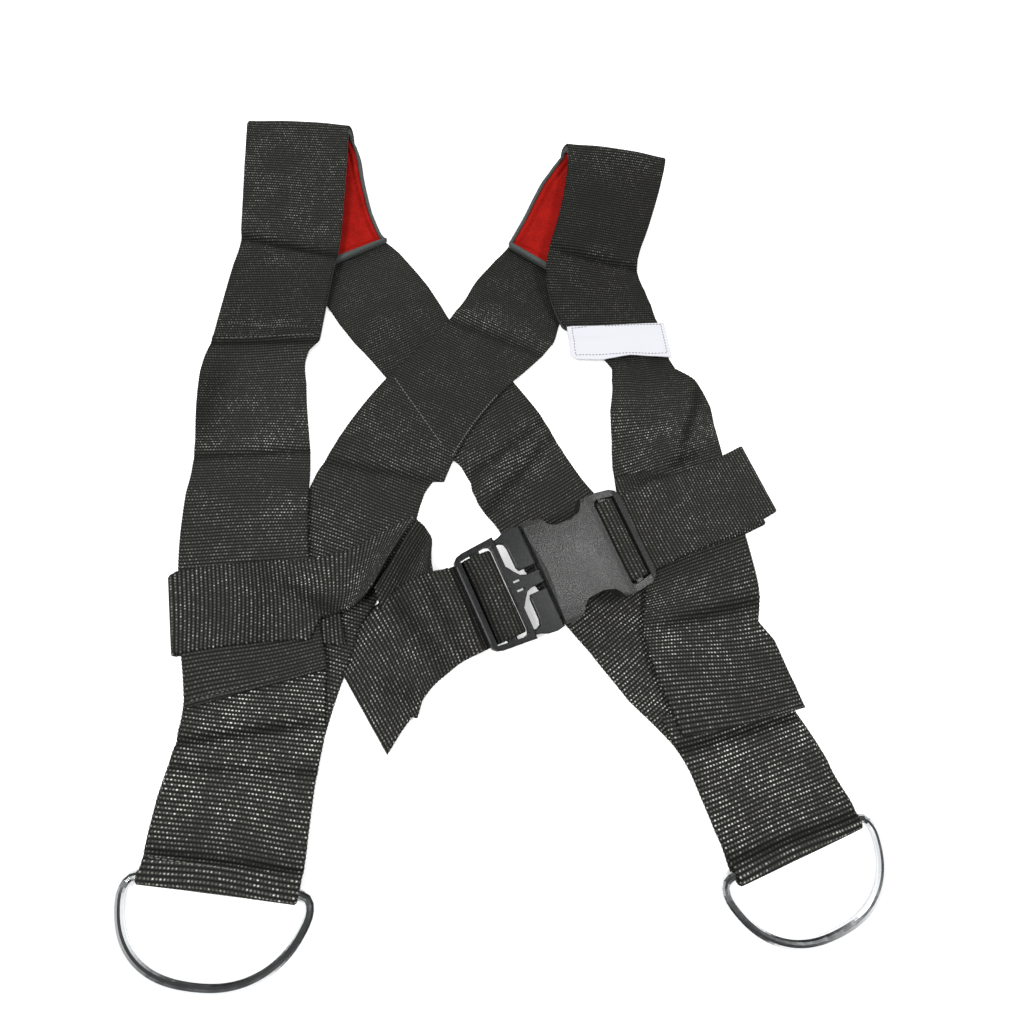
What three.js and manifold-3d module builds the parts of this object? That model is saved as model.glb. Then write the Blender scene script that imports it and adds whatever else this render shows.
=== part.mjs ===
// A shoulder harness for pulling a sled, laid flat on the floor with its front straps uppermost.
// Millimetres. +X is to the right as it lies, +Y from the rings to the shoulders, +Z up.
import * as THREE from "three";
import Module from "manifold-3d";

// Driving dimensions
const harnessLength = 600;
const webbingWidth = 76.2;
const webbingThickness = 2;
const beltWidth = 52;
const pieceGap = 0.3;
const layerHeight = webbingThickness + pieceGap;
const stationStep = 12;
const ribbonCells = 4;

// Shoulder pads
const liningThickness = 4;
const bindingThickness = 4.6;
const bindingFace = 3.2;
const foldRadius = 8;
const foldAngles = [-72, 108];
const foldCells = 12;

// Rings
const wireDiameter = 5;
const ringHalfWidth = 46;
const ringDepth = 41.5;
const ringReach = 2.3;
const seamGap = 0.3;
const ringCells = 84;
const wireCells = 6;
const loopRadius = wireDiameter / 2 + pieceGap + webbingThickness / 2;
const barHeight = layerHeight + wireDiameter / 2;
const halfTurn = [-90, 90];
const loopCells = 8;
const beltFoldCells = 6;

// Buckle
const buckleYaw = 22.5;
const buckleTilt = 17;
const socketLength = 67.5;
const plugReach = 46.5;
const webClearance = 0.8;
const sideRail = 6.2;
const slotHalfWidth = beltWidth / 2 + webClearance;
const slotFlare = 2;
const slotCorner = 3.5;
const buckleHalfWidth = slotHalfWidth + sideRail;
const bodyThickness = 13;
const cavityHeight = 6.8;
const cavityWall = 5;
const cavityBack = 10.5;
const frameTop = 4.5;
const frameBottom = 3.5;
const barUnderside = 1.9;
const slotLength = 15;
const plugSlotLength = 21;
const plugCrossTop = 2.8;
const plugCrossWidth = 3.4;
const endBarWidth = 4;
const midBarWidth = 6.4;
const midBarHeight = 3.4;
const midBarShare = 0.52;
const midBarSeat = 1;
const barCells = 8;
const plugPlate = 4.4;
const ribWidth = 1;
const ribHeight = 3.1;
const ribOffset = 2.9;
const ribReach = 20;
const slitLength = 5;
const slitWidth = 1.3;
const slitStart = 18.2;
const edgeBevel = 1.2;
const plateBevel = 0.5;
const bevelCells = 2;
const leadLength = 8;
const weldStep = 0.0001;

// The web over a middle bar: its slack over the bar, and under the end bar the gap above it
// and the gap between its two layers.
const wrapSlack = 1.2;
const wrapUpperGap = 0.4;
const wrapLowerGap = 0.6;
const wrapTop = midBarHeight / 2 + wrapSlack + webbingThickness / 2;
const wrapDepth = barUnderside + wrapUpperGap + wrapLowerGap + webbingThickness * 1.5;

// Label
const labelLength = 33;
const labelThickness = 0.6;

// Where each strap runs. A row is x and y as shares of the harness's length and the height as a
// share of one layer of webbing, then the direction across the webbing in degrees from +X, how
// far that direction climbs, and the share of the width that shows where the webbing is pleated.
const leftShoulderAShares = [
  [-0.1567, 0.765, 0.065, 29],
  [-0.1662, 0.7775, 0.565, 26],
  [-0.1833, 0.8192, 3.739, 18],
  [-0.198, 0.8708, 7.957, 9],
  [-0.2083, 0.9183, 12.261, 1],
];
const leftShoulderBShares = [
  [-0.2203, 0.8867, 17.217, -2.5],
  [-0.224, 0.825, 11.826, -2],
  [-0.2272, 0.78, 7.826, -1],
  [-0.2293, 0.7633, 6.522, -1],
  [-0.2353, 0.7333, 5.304, 0],
  [-0.2422, 0.6867, 3.652, 1],
  [-0.2473, 0.65, 2.609, 1.5],
  [-0.2517, 0.6133, 2.174, 2],
];
const rightShoulderAShares = [
  [0.1158, 0.7443, 0.065, -43],
  [0.124, 0.7562, 0.696, -41],
  [0.1467, 0.79, 3.739, -34],
  [0.17, 0.8287, 7.391, -25],
  [0.1958, 0.8677, 11.522, -16],
];
const rightShoulderBShares = [
  [0.2125, 0.8417, 17.391, -12.5],
  [0.1975, 0.79, 12.826, -12.5],
  [0.1833, 0.75, 9.13, -12],
  [0.1758, 0.725, 7.043, -10],
  [0.1738, 0.7, 5.652, -7],
  [0.1775, 0.67, 4.174, -3],
  [0.1833, 0.6483, 3.348, 0],
  [0.1892, 0.6317, 2.783, 1],
];
const leftFrontShares = [
  [-0.2517, 0.6133, 2.174, 2],
  [-0.258, 0.5967, 1.261, 1.5],
  [-0.2623, 0.5783, 0.261, 1],
  [-0.2625, 0.5567, 0, 0],
  [-0.2595, 0.5133, 0, -1],
  [-0.2538, 0.4633, 0, -2],
  [-0.25, 0.4233, 0.435, -2],
  [-0.2477, 0.3867, 2, -2],
  [-0.245, 0.3333, 2, 0],
  [-0.2383, 0.2833, 2, 2],
  [-0.228, 0.2333, 2, 7],
  [-0.22, 0.1967, 2, 10],
  [-0.2167, 0.1783, 2, 13],
];
const rightFrontShares = [
  [0.1892, 0.6317, 2.783, 1],
  [0.1958, 0.6167, 1.826, -2, 0, 0.96],
  [0.205, 0.6, 0.609, -4, 0, 0.84],
  [0.2158, 0.5817, 0.043, -5, 0, 0.68],
  [0.2233, 0.5633, 0, -4, 0, 0.64],
  [0.2325, 0.545, 0, -2, 0, 0.84],
  [0.2338, 0.5, 0, 2, 0, 0.97],
  [0.2317, 0.4617, 0.348, 12],
  [0.23, 0.4267, 2, 18],
  [0.23, 0.375, 2, 20],
  [0.23, 0.3167, 2, 20],
  [0.2283, 0.2667, 2, 14],
  [0.2233, 0.225, 2, 4],
  [0.23, 0.1833, 2, -5],
  [0.2433, 0.1233, 2, -10.5],
];
const leftBackShares = [
  [-0.1567, 0.765, 0.065, 29],
  [-0.1215, 0.7108, 0, 30],
  [-0.0713, 0.6255, 0, 31],
  [-0.0185, 0.5437, 0, 30],
  [0.0205, 0.4758, 0, 30],
  [0.0475, 0.4218, 0, 31],
  [0.0775, 0.3587, 0, 32],
  [0.1367, 0.2517, 0, 33],
  [0.1833, 0.185, 0, 35],
  [0.2117, 0.145, 0, 32],
];
const rightBackShares = [
  [0.1158, 0.7443, 0.065, -43],
  [0.0917, 0.713, 0, -40],
  [0.0703, 0.6852, 0.087, -36],
  [0.0527, 0.6478, 1, -33],
  [0.0133, 0.593, 1, -32],
  [-0.03, 0.5427, 1, -31],
  [-0.065, 0.4933, 1, -30],
  [-0.095, 0.4408, 1, -29],
  [-0.116, 0.4038, 0.087, -26],
  [-0.1283, 0.372, 0, -24],
  [-0.1657, 0.2897, 0, -21],
  [-0.1997, 0.2025, 0, -17],
  [-0.2193, 0.1283, 0, -14],
];
const leftLoopShares = [
  [-0.2193, 0.1283, 0, -14],
  [-0.2243, 0.0963, 0, -12.5],
  [-0.228, 0.054, 0, -11.2],
  [-0.2297, 0.0253, 0, -11.2],
];
const leftReturnShares = [
  [-0.2287, 0.03, 2.87, -11.2],
  [-0.227, 0.0503, 1.13, -11.2],
  [-0.2247, 0.1007, 1, -10],
  [-0.22, 0.15, 1, -10],
  [-0.2183, 0.1883, 1, -10],
];
const rightLoopShares = [
  [0.2117, 0.145, 0, 32],
  [0.2317, 0.11, 0, 24],
  [0.2483, 0.0617, 0, 17],
  [0.2552, 0.0143, 0, 16.3],
];
const rightReturnShares = [
  [0.2533, 0.0217, 2.87, 16.3],
  [0.2475, 0.0433, 1.13, 16.3],
  [0.235, 0.0917, 1, 15],
  [0.2217, 0.14, 1, 11],
];
const beltLeftUnderShares = [
  [-0.1467, 0.26, 1, 100],
  [-0.2, 0.2642, 1, 97],
  [-0.25, 0.2633, 1, 98],
  [-0.3025, 0.2575, 1, 101],
];
const beltLeftOverShares = [
  [-0.3025, 0.2575, 3, 101],
  [-0.25, 0.2633, 3, 97],
  [-0.2, 0.265, 3, 98],
  [-0.1667, 0.265, 3.174, 98],
  [-0.14, 0.2717, 4.087, 88],
  [-0.115, 0.2883, 5.913, 74],
  [-0.0983, 0.3017, 7.043, 64],
  [-0.0917, 0.3058, 7.391, 61],
];
const beltLeftRunShares = [
  [-0.0887, 0.3037, 6.696, 61],
  [-0.0833, 0.2977, 4.783, 60],
  [-0.0767, 0.2867, 2, 63],
  [-0.0658, 0.27, 1.652, 75, 2],
  [-0.0517, 0.25, 2.609, 93, 8],
  [-0.0392, 0.2337, 4.696, 108, 14],
];
const beltLeftTailShares = [
  [-0.045, 0.2275, 6.348, 112, 13],
  [-0.0733, 0.2083, 2.87, 113, 4],
  [-0.0967, 0.1817, 1.565, 118],
  [-0.1192, 0.1492, 1, 119],
];
const beltRightUnderShares = [
  [0.1675, 0.3135, 1, 112.5],
  [0.2083, 0.3305, 1, 112.5],
  [0.25, 0.3477, 1, 111],
  [0.3042, 0.37, 1, 103],
];
const beltRightOverShares = [
  [0.3042, 0.37, 3, 103],
  [0.28, 0.36, 3.652, 107, 3],
  [0.2467, 0.3467, 4.522, 111, 7],
  [0.2067, 0.3327, 5.783, 112, 10],
];
const beltRightTailShares = [
  [0.2017, 0.33, 7.913, 112, 12],
  [0.25, 0.3492, 5.913, 110, 8.5],
  [0.2917, 0.3675, 5.391, 107.5, 7],
  [0.32, 0.3817, 5.217, 106, 6.5],
];
const labelShares = [
  [0.1292, 0.6025, 2.913, 90, 7],
  [0.1633, 0.604, 2.913, 91, 7],
  [0.1967, 0.6055, 2.913, 91, 7],
  [0.23, 0.6063, 2.913, 91, 7],
  [0.2608, 0.6063, 2.913, 92, 7],
];

// Outlines of the moulded pieces, half of each. A row is the distance from the mouth as a share of
// the socket's length, or of the plug's reach, and the distance from the middle as a share of the
// buckle's half width.
const socketOutlineShares = [
  [0, 0.9697],
  [0.0815, 1],
  [0.1926, 0.9394],
  [0.2341, 0.8061],
  [0.2889, 0.7394],
  [0.437, 0.7212],
  [0.5481, 0.7818],
  [0.5867, 0.8788],
  [0.6148, 0.9879],
  [0.7852, 0.9939],
  [0.9185, 0.9576],
  [0.9778, 0.8909],
  [1, 0.7879],
];
const tongueOutlineShares = [
  [-0.4301, 0.4545],
  [-0.3785, 0.3758],
  [-0.3226, 0.2606],
  [-0.2667, 0.1636],
  [-0.1935, 0.1273],
  [0.4731, 0.1273],
  [0.5161, 0.0788],
];
const armOutlineShares = [
  [-0.3935, 0.8273],
  [-0.3441, 0.8273],
  [-0.2925, 0.7879],
  [-0.2731, 0.697],
  [-0.2688, 0.303],
  [-0.2452, 0.2364],
  [0.1935, 0.2364],
  [0.2796, 0.4242],
  [0.3011, 0.6818],
  [0.2688, 0.8061],
  [-0.0086, 0.8303],
  [-0.0086, 0.997],
  [-0.1183, 1.0212],
  [-0.2366, 1],
  [-0.3333, 0.9394],
  [-0.3935, 0.9242],
];
const plugOutlineShares = [
  [-1, 0.7273],
  [-0.9806, 0.8303],
  [-0.9333, 0.897],
  [-0.8602, 0.9273],
  [-0.4086, 0.9879],
  [-0.4086, 0.9273],
  [-0.4, 0.9212],
];
// The socket's upper face, seen from its side and from its end. A row is the distance from the
// mouth, or from the middle, and the height, as shares of the socket's length, of the buckle's
// half width and of half the body's thickness.
const socketSideShares = [
  [-0.0296, 0.9],
  [0, 0.93],
  [0.0444, 1],
  [0.3556, 1],
  [0.5333, 0.95],
  [0.6667, 0.82],
  [0.7407, 0.71],
  [0.9333, 0.64],
  [1, 0.48],
  [1.037, 0.35],
];
const socketCrownShares = [
  [-1.0909, 0.74],
  [-1, 0.8],
  [-0.9091, 0.86],
  [-0.7273, 0.92],
  [-0.4848, 0.965],
  [-0.2424, 0.99],
  [0, 1],
  [0.2424, 0.99],
  [0.4848, 0.965],
  [0.7273, 0.92],
  [0.9091, 0.86],
  [1, 0.8],
  [1.0909, 0.74],
];
// The web over a middle bar. A row is the distance from the bar towards the buckle's end as a
// share of the slot's length, and the height as a share of the top or of the depth.
const wrapPathShares = [
  [0.7933, -1],
  [0.38, -1],
  [0.0133, -1],
  [-0.2133, -0.9153],
  [-0.3533, -0.6441],
  [-0.42, -0.2373],
  [-0.4067, 0.2308],
  [-0.3267, 0.641],
  [-0.1933, 0.8974],
  [-0.0133, 1],
  [0.1667, 0.9231],
  [0.3, 0.6667],
  [0.3733, 0.2308],
  [0.38, -0.1525],
  [0.3933, -0.3729],
  [0.44, -0.5254],
  [0.5333, -0.5678],
  [0.6467, -0.5593],
  [0.7933, -0.5593],
];
// A D-ring from the middle of its bar round to the middle of its bow, as shares of its half width
// and its depth.
const ringHalfShares = [
  [0, 0],
  [0.4, 0],
  [0.7, 0],
  [0.85, 0],
  [0.95, 0.04],
  [0.9916, 0.1695],
  [0.9389, 0.4079],
  [0.8394, 0.6109],
  [0.6959, 0.7763],
  [0.512, 0.8989],
  [0.2892, 0.9745],
  [0, 1],
];
// The middle of the socket's mouth, the bars' middles and the pads' folds, as rows of a strap.
const mouthShares = [0.0558, 0.2672, 8.957];
const leftBarShares = [-0.231, 0.0187, 0, -11.2];
const rightBarShares = [0.257, 0.0077, 0, 16.3];
const leftFoldShares = [-0.2183, 0.9433, 17.957, -2.8];
const rightFoldShares = [0.225, 0.8925, 17.957, -12.4];

const radians = THREE.MathUtils.degToRad;
const point = (x, y, z) => new THREE.Vector3(x, y, z);

// Materials
function standard(color, roughness, metalness) {
  return new THREE.MeshStandardMaterial({ color, roughness, metalness });
}
const webbing = () => standard(0x2f2f2d, 0.9, 0);
const felt = () => standard(0xc8201c, 1, 0);
const tape = () => standard(0x4a4f4e, 0.9, 0);
const acetal = () => standard(0x3a3a3b, 0.5, 0);
const chrome = () => standard(0xd9dcdf, 0.15, 1);
const woven = () => standard(0xf2f2f4, 0.9, 0);

const harness = new THREE.Group();

function add(name, geometry, material, parent = harness) {
  const mesh = new THREE.Mesh(geometry, material);
  mesh.name = name;
  parent.add(mesh);
  return mesh;
}

// A unit direction from its turn from +X and its climb.
function direction(turn, climb = 0) {
  const flat = Math.cos(radians(climb));
  return point(Math.cos(radians(turn)) * flat, Math.sin(radians(turn)) * flat, Math.sin(radians(climb)));
}

// The place that a row of shares names.
function place([x, y, layers]) {
  return point(x * harnessLength, y * harnessLength, webbingThickness / 2 + layers * layerHeight);
}

// Stations of a strap: a centre, a unit direction across the webbing and the share of its width.
function stations(rows) {
  return rows.map((row) => ({ at: place(row), side: direction(row[3], row[4]), share: row[5] ?? 1 }));
}

// A bend in the upright plane that holds the heading, from one angle to another.
function bend(centre, heading, turn, radius, [from, to], count) {
  const made = [];
  for (let i = 0; i <= count; i += 1) {
    const angle = from + ((to - from) * i) / count;
    const at = centre.clone().addScaledVector(direction(heading, angle), radius);
    made.push({ at, side: direction(turn), share: 1 });
  }
  return made;
}

// Smooth the stations, at a step no longer than the one given, and leave half a gap at each end.
function smoothed(rows, step = stationStep) {
  const curve = new THREE.CatmullRomCurve3(rows.map((row) => row.at), false, "centripetal");
  const made = [];
  const spans = rows.length - 1;
  for (let i = 0; i < spans; i += 1) {
    const [here, next] = [rows[i], rows[i + 1]];
    const count = Math.max(1, Math.round(here.at.distanceTo(next.at) / step));
    for (let k = 0; k < count; k += 1) {
      const part = k / count;
      const t = (i + part) / spans;
      made.push({
        at: curve.getPoint(t),
        side: here.side.clone().lerp(next.side, part).normalize(),
        way: curve.getTangent(t),
        share: THREE.MathUtils.lerp(here.share, next.share, part),
      });
    }
  }
  made.push({ ...rows[spans], at: rows[spans].at.clone(), way: curve.getTangent(1) });
  return inset(made, pieceGap / 2);
}

// The same path, cut back at both ends.
function inset(path, distance) {
  const made = path.map((station) => ({ ...station, at: station.at.clone() }));
  const [first, last] = [made[0], made[made.length - 1]];
  first.at.addScaledVector(first.way, distance);
  last.at.addScaledVector(last.way, -distance);
  return made;
}

// The same path with one more station just inside each end.
function framed(path, distance) {
  const cut = inset(path, distance);
  return [path[0], cut[0], ...path.slice(1, -1), cut[cut.length - 1], path[path.length - 1]];
}

// A sheet that follows the stations. Columns are distances across; holds says which cells are solid.
function sheet(path, columns, thickness, lift = 0, holds = () => true) {
  const points = [];
  const grid = path.map((station) => {
    const normal = station.side.clone().cross(station.way).normalize();
    return [-1, 1].map((face) =>
      columns.map((column) => {
        const corner = station.at
          .clone()
          .addScaledVector(station.side, column * station.share)
          .addScaledVector(normal, lift + (face * thickness) / 2);
        return points.push(corner) - 1;
      }),
    );
  });
  const faces = [];
  const quad = (a, b, c, d) => faces.push(a, b, c, a, c, d);
  const [lastRow, lastCell] = [path.length - 2, columns.length - 2];
  const solid = (i, j) => i >= 0 && j >= 0 && i <= lastRow && j <= lastCell && holds(i, j, lastRow);
  for (let i = 0; i <= lastRow; i += 1) {
    for (let j = 0; j <= lastCell; j += 1) {
      if (!solid(i, j)) continue;
      const [lowA, highA] = grid[i];
      const [lowB, highB] = grid[i + 1];
      quad(highA[j], highA[j + 1], highB[j + 1], highB[j]);
      quad(lowA[j], lowB[j], lowB[j + 1], lowA[j + 1]);
      if (!solid(i, j - 1)) quad(lowA[j], highA[j], highB[j], lowB[j]);
      if (!solid(i, j + 1)) quad(lowA[j + 1], lowB[j + 1], highB[j + 1], highA[j + 1]);
      if (!solid(i - 1, j)) quad(lowA[j], lowA[j + 1], highA[j + 1], highA[j]);
      if (!solid(i + 1, j)) quad(lowB[j], highB[j], highB[j + 1], lowB[j + 1]);
    }
  }
  const geometry = new THREE.BufferGeometry().setFromPoints(points);
  geometry.setIndex(faces);
  const flat = geometry.toNonIndexed();
  flat.computeVertexNormals();
  return flat;
}

// Even columns across a width.
function columnsOf(width) {
  const columns = [];
  for (let i = 0; i <= ribbonCells; i += 1) columns.push(width * (i / ribbonCells - 0.5));
  return columns;
}

// A length of webbing along a smoothed path.
function strap(name, path, width = webbingWidth, parent = harness) {
  add(name, sheet(path, columnsOf(width), webbingThickness), webbing(), parent);
}

// The padded fold over a shoulder, with its lining and the tape round the lining's edge.
function shoulder(side, back, fold, front) {
  const turn = fold[3];
  const apex = bend(place(fold), turn + 90, turn, foldRadius, foldAngles, foldCells);
  const path = smoothed([...stations(back), ...apex, ...stations(front)]);
  strap(`${side}_shoulder_strap`, path);
  const half = webbingWidth / 2;
  const inner = half - bindingFace;
  const seat = webbingThickness / 2 + pieceGap;
  const lining = inset(path, bindingFace + pieceGap);
  const liningColumns = columnsOf(2 * (inner - pieceGap));
  const liningSheet = sheet(lining, liningColumns, liningThickness, seat + liningThickness / 2);
  add(`${side}_pad_lining`, liningSheet, felt());
  const rim = framed(path, bindingFace);
  const rimCell = (i, j, last) => j !== 1 || i === 0 || i === last;
  const rimColumns = [-half, -inner, inner, half];
  const binding = sheet(rim, rimColumns, bindingThickness, seat + bindingThickness / 2, rimCell);
  add(`${side}_pad_binding`, binding, tape());
}

// The leg's end, folded round a ring's bar and back over itself.
function ringLoop(name, low, bar, back) {
  const turn = bar[3];
  const round = bend(barMiddle(bar), turn - 90, turn, loopRadius, halfTurn, loopCells);
  strap(name, smoothed([...stations(low), ...round, ...stations(back)]));
}

function barMiddle(bar) {
  return place(bar).setZ(barHeight);
}

// A D-ring whose bar lies along its own X axis, with the butt joint inside the webbing.
function ring(name, bar) {
  const half = ringHalfShares.map(([x, y]) => point(x * ringHalfWidth, -y * ringDepth, 0));
  half[0].x = seamGap / 2;
  const other = half.slice(0, -1).map((corner) => point(-corner.x, corner.y, 0));
  const path = new THREE.CatmullRomCurve3([...half, ...other.reverse()], false, "centripetal");
  const section = new THREE.Shape().absarc(0, 0, wireDiameter / 2, 0, 2 * Math.PI);
  const geometry = new THREE.ExtrudeGeometry(section, {
    steps: ringCells,
    curveSegments: wireCells,
    bevelEnabled: false,
    extrudePath: path,
  });
  const mesh = add(name, geometry, chrome());
  mesh.position.copy(barMiddle(bar));
  mesh.rotation.order = "ZYX";
  mesh.rotation.set(Math.asin(ringReach / ringDepth), 0, radians(bar[3]));
}

// The buckle's two sides: where each ends, the way it faces and its web slot's length.
const socketSide = { end: socketLength, way: 1, slot: slotLength };
const plugSide = { end: -plugReach, way: -1, slot: plugSlotLength };

// Moulded pieces are joined and cut as solids.
const wasm = await Module();
wasm.setup();
const { Manifold, Mesh: SolidMesh } = wasm;

function toSolid(geometry) {
  const source = geometry.index ? geometry.toNonIndexed() : geometry;
  const positions = source.getAttribute("position");
  const keys = new Map();
  const vertices = [];
  const corners = [];
  for (let i = 0; i < positions.count; i += 1) {
    const corner = point().fromBufferAttribute(positions, i);
    const key = corner.toArray().map((value) => Math.round(value / weldStep)).join();
    if (!keys.has(key)) {
      keys.set(key, vertices.length / 3);
      vertices.push(...corner.toArray());
    }
    corners.push(keys.get(key));
  }
  const faces = [];
  for (let i = 0; i < corners.length; i += 3) {
    const [a, b, c] = corners.slice(i, i + 3);
    if (a !== b && b !== c && a !== c) faces.push(a, b, c);
  }
  const vertProperties = new Float32Array(vertices);
  return new Manifold(new SolidMesh({ numProp: 3, vertProperties, triVerts: new Uint32Array(faces) }));
}

function toGeometry(solid) {
  const mesh = solid.getMesh();
  const points = [];
  for (let i = 0; i < mesh.numVert; i += 1) {
    points.push(point(...mesh.vertProperties.slice(i * mesh.numProp, i * mesh.numProp + 3)));
  }
  const geometry = new THREE.BufferGeometry().setFromPoints(points);
  geometry.setIndex([...mesh.triVerts]);
  const flat = geometry.toNonIndexed();
  flat.computeVertexNormals();
  return flat;
}

// A plate with the given outline, from one height to another, with bevelled edges.
function plate(points, low, high, bevel) {
  const shape = new THREE.Shape(points.map(([u, v]) => new THREE.Vector2(u, v)));
  const geometry = new THREE.ExtrudeGeometry(shape, {
    depth: high - low - 2 * bevel,
    bevelEnabled: bevel > 0,
    bevelThickness: bevel,
    bevelSize: bevel,
    bevelOffset: -bevel,
    bevelSegments: bevelCells,
  });
  geometry.translate(0, 0, low + bevel);
  return toSolid(geometry);
}

// A prism across the buckle, or along it, whose section is mirrored below its middle.
function prism(half, length, along) {
  const section = [...half, ...half.map(([u, w]) => [u, -w]).reverse()];
  const shape = new THREE.Shape(section.map(([u, w]) => new THREE.Vector2(u, w)));
  const geometry = new THREE.ExtrudeGeometry(shape, { depth: length, bevelEnabled: false });
  geometry.translate(0, 0, -length / 2);
  geometry.rotateX(Math.PI / 2);
  if (along) geometry.rotateZ(Math.PI / 2);
  return toSolid(geometry);
}

function block(lowU, highU, halfV, lowW, highW) {
  const geometry = new THREE.BoxGeometry(highU - lowU, 2 * halfV, highW - lowW);
  geometry.translate((lowU + highU) / 2, 0, (lowW + highW) / 2);
  return toSolid(geometry);
}

const outline = (shares, length) => shares.map(([u, v]) => [u * length, v * buckleHalfWidth]);
const mirrored = (half) => [...half, ...half.map(([u, v]) => [u, -v]).reverse()];

// The middle bar of a web slot, rounded, across the buckle.
function midBar(u) {
  const radius = midBarHeight / 2;
  const reach = midBarWidth / 2 - radius;
  const shape = new THREE.Shape();
  shape.absarc(reach, 0, radius, -Math.PI / 2, Math.PI / 2);
  shape.absarc(-reach, 0, radius, Math.PI / 2, (3 * Math.PI) / 2);
  const length = 2 * (slotHalfWidth + slotFlare + midBarSeat);
  const geometry = new THREE.ExtrudeGeometry(shape, {
    depth: length,
    bevelEnabled: false,
    curveSegments: barCells,
  });
  geometry.translate(0, 0, -length / 2);
  geometry.rotateX(Math.PI / 2);
  geometry.translate(u, 0, 0);
  return toSolid(geometry);
}

// Where the middle bar of a web slot lies, for one side of the buckle.
function midBarAt({ end, way, slot }) {
  return end - way * (endBarWidth + slot * (1 - midBarShare));
}

// A web slot's opening: wider and rounded at its inner side.
function slotOpening(outer, inner, way) {
  const wide = slotHalfWidth + slotFlare;
  const shape = new THREE.Shape();
  shape.moveTo(outer, -slotHalfWidth);
  shape.lineTo(outer, slotHalfWidth);
  shape.lineTo(inner + way * slotCorner, wide);
  shape.quadraticCurveTo(inner, wide, inner, wide - slotCorner);
  shape.lineTo(inner, slotCorner - wide);
  shape.quadraticCurveTo(inner, -wide, inner + way * slotCorner, -wide);
  const geometry = new THREE.ExtrudeGeometry(shape, {
    depth: 2 * bodyThickness,
    bevelEnabled: false,
    curveSegments: bevelCells,
  });
  geometry.translate(0, 0, -bodyThickness);
  return toSolid(geometry);
}

// Cut a web slot at one end of the buckle and put its middle bar back.
function webSlot(body, buckleSide) {
  const { end, way, slot } = buckleSide;
  const outer = end - way * endBarWidth;
  const under = [outer - way * pieceGap, end + way * endBarWidth].sort((a, b) => a - b);
  return body
    .subtract(slotOpening(outer, outer - way * slot, way))
    .subtract(block(...under, slotHalfWidth, -bodyThickness, -barUnderside))
    .add(midBar(midBarAt(buckleSide)));
}

// The socket is crowned: its body is where the plate, its side view and its end view agree.
function socket() {
  const rise = bodyThickness / 2;
  const sideView = socketSideShares.map(([u, w]) => [u * socketLength, w * rise]);
  const endView = socketCrownShares.map(([v, w]) => [v * buckleHalfWidth, w * rise]);
  const body = plate(mirrored(outline(socketOutlineShares, socketLength)), -rise, rise, edgeBevel)
    .intersect(prism(sideView, 4 * buckleHalfWidth, false))
    .intersect(prism(endView, 4 * socketLength, true));
  const start = socketLength - endBarWidth - slotLength;
  const below = block(start, 2 * socketLength, 2 * buckleHalfWidth, -bodyThickness, -frameBottom);
  const hollow = [-edgeBevel, start - cavityBack, buckleHalfWidth - cavityWall];
  const cavity = block(...hollow, -cavityHeight / 2, cavityHeight / 2);
  return webSlot(body.subtract(below).subtract(cavity), socketSide);
}

function plug() {
  const frameHalf = outline(plugOutlineShares, plugReach);
  const tongueHalf = outline(tongueOutlineShares, plugReach);
  const frame = plate(mirrored(frameHalf), -frameBottom, frameTop, edgeBevel);
  const tongue = plate(mirrored(tongueHalf), -plugPlate / 2, plugPlate / 2, plateBevel);
  const slitEnd = slitLength - slitStart;
  const crossStart = plugSlotLength + endBarWidth - plugReach;
  const low = block(crossStart - plugCrossWidth, 0, slotHalfWidth, plugCrossTop, bodyThickness);
  let body = webSlot(frame.subtract(low), plugSide).add(tongue);
  for (const way of [-1, 1]) {
    const rib = block(slitEnd, ribReach, ribWidth / 2, 0, ribHeight);
    const slit = block(-slitStart, slitEnd, slitWidth / 2, -plugPlate, plugPlate);
    const across = [0, way * ribOffset, 0];
    body = body.add(rib.translate(across)).subtract(slit.translate(across));
  }
  return body;
}

function arm(way) {
  const points = outline(armOutlineShares, plugReach).map(([u, v]) => [u, way * v]);
  if (way < 0) points.reverse();
  return plate(points, -plugPlate / 2, plugPlate / 2, plateBevel);
}

// The buckle's own frame: U along it, V across it and W out of its face.
const buckleFrame = new THREE.Group();
buckleFrame.position.copy(place(mouthShares));
buckleFrame.rotation.order = "ZYX";
buckleFrame.rotation.set(radians(buckleTilt), 0, radians(buckleYaw));
harness.add(buckleFrame);

// The web round a middle bar, in the buckle's frame.
function wrapRows(buckleSide) {
  const { way, slot } = buckleSide;
  return wrapPathShares.map(([u, w]) => ({
    at: point(midBarAt(buckleSide) + way * u * slot, 0, w * (w > 0 ? wrapTop : wrapDepth)),
    side: direction(90),
    share: 1,
  }));
}

// A wrap's end in the harness's frame with a short straight lead, where a run or a tail takes over.
function wrapLead(buckleSide, index) {
  const row = wrapRows(buckleSide).at(index);
  buckleFrame.updateMatrix();
  return [0, leadLength].map((lead) => ({
    ...row,
    at: row.at.clone().setX(row.at.x + buckleSide.way * lead).applyMatrix4(buckleFrame.matrix),
    side: row.side.clone().transformDirection(buckleFrame.matrix),
  }));
}
const enter = (buckleSide) => wrapLead(buckleSide, 0).reverse();
const leave = (buckleSide) => wrapLead(buckleSide, -1);

// Shoulder straps, front and back
shoulder("left", leftShoulderAShares, leftFoldShares, leftShoulderBShares);
shoulder("right", rightShoulderAShares, rightFoldShares, rightShoulderBShares);
strap("left_front_strap", smoothed(stations(leftFrontShares)));
strap("right_front_strap", smoothed(stations(rightFrontShares)));
strap("left_to_right_back_strap", smoothed(stations(leftBackShares)));
strap("right_to_left_back_strap", smoothed(stations(rightBackShares)));

// Rings and the loops that hold them
ringLoop("left_ring_loop", leftLoopShares, leftBarShares, leftReturnShares);
ringLoop("right_ring_loop", rightLoopShares, rightBarShares, rightReturnShares);
ring("left_ring", leftBarShares);
ring("right_ring", rightBarShares);

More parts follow.
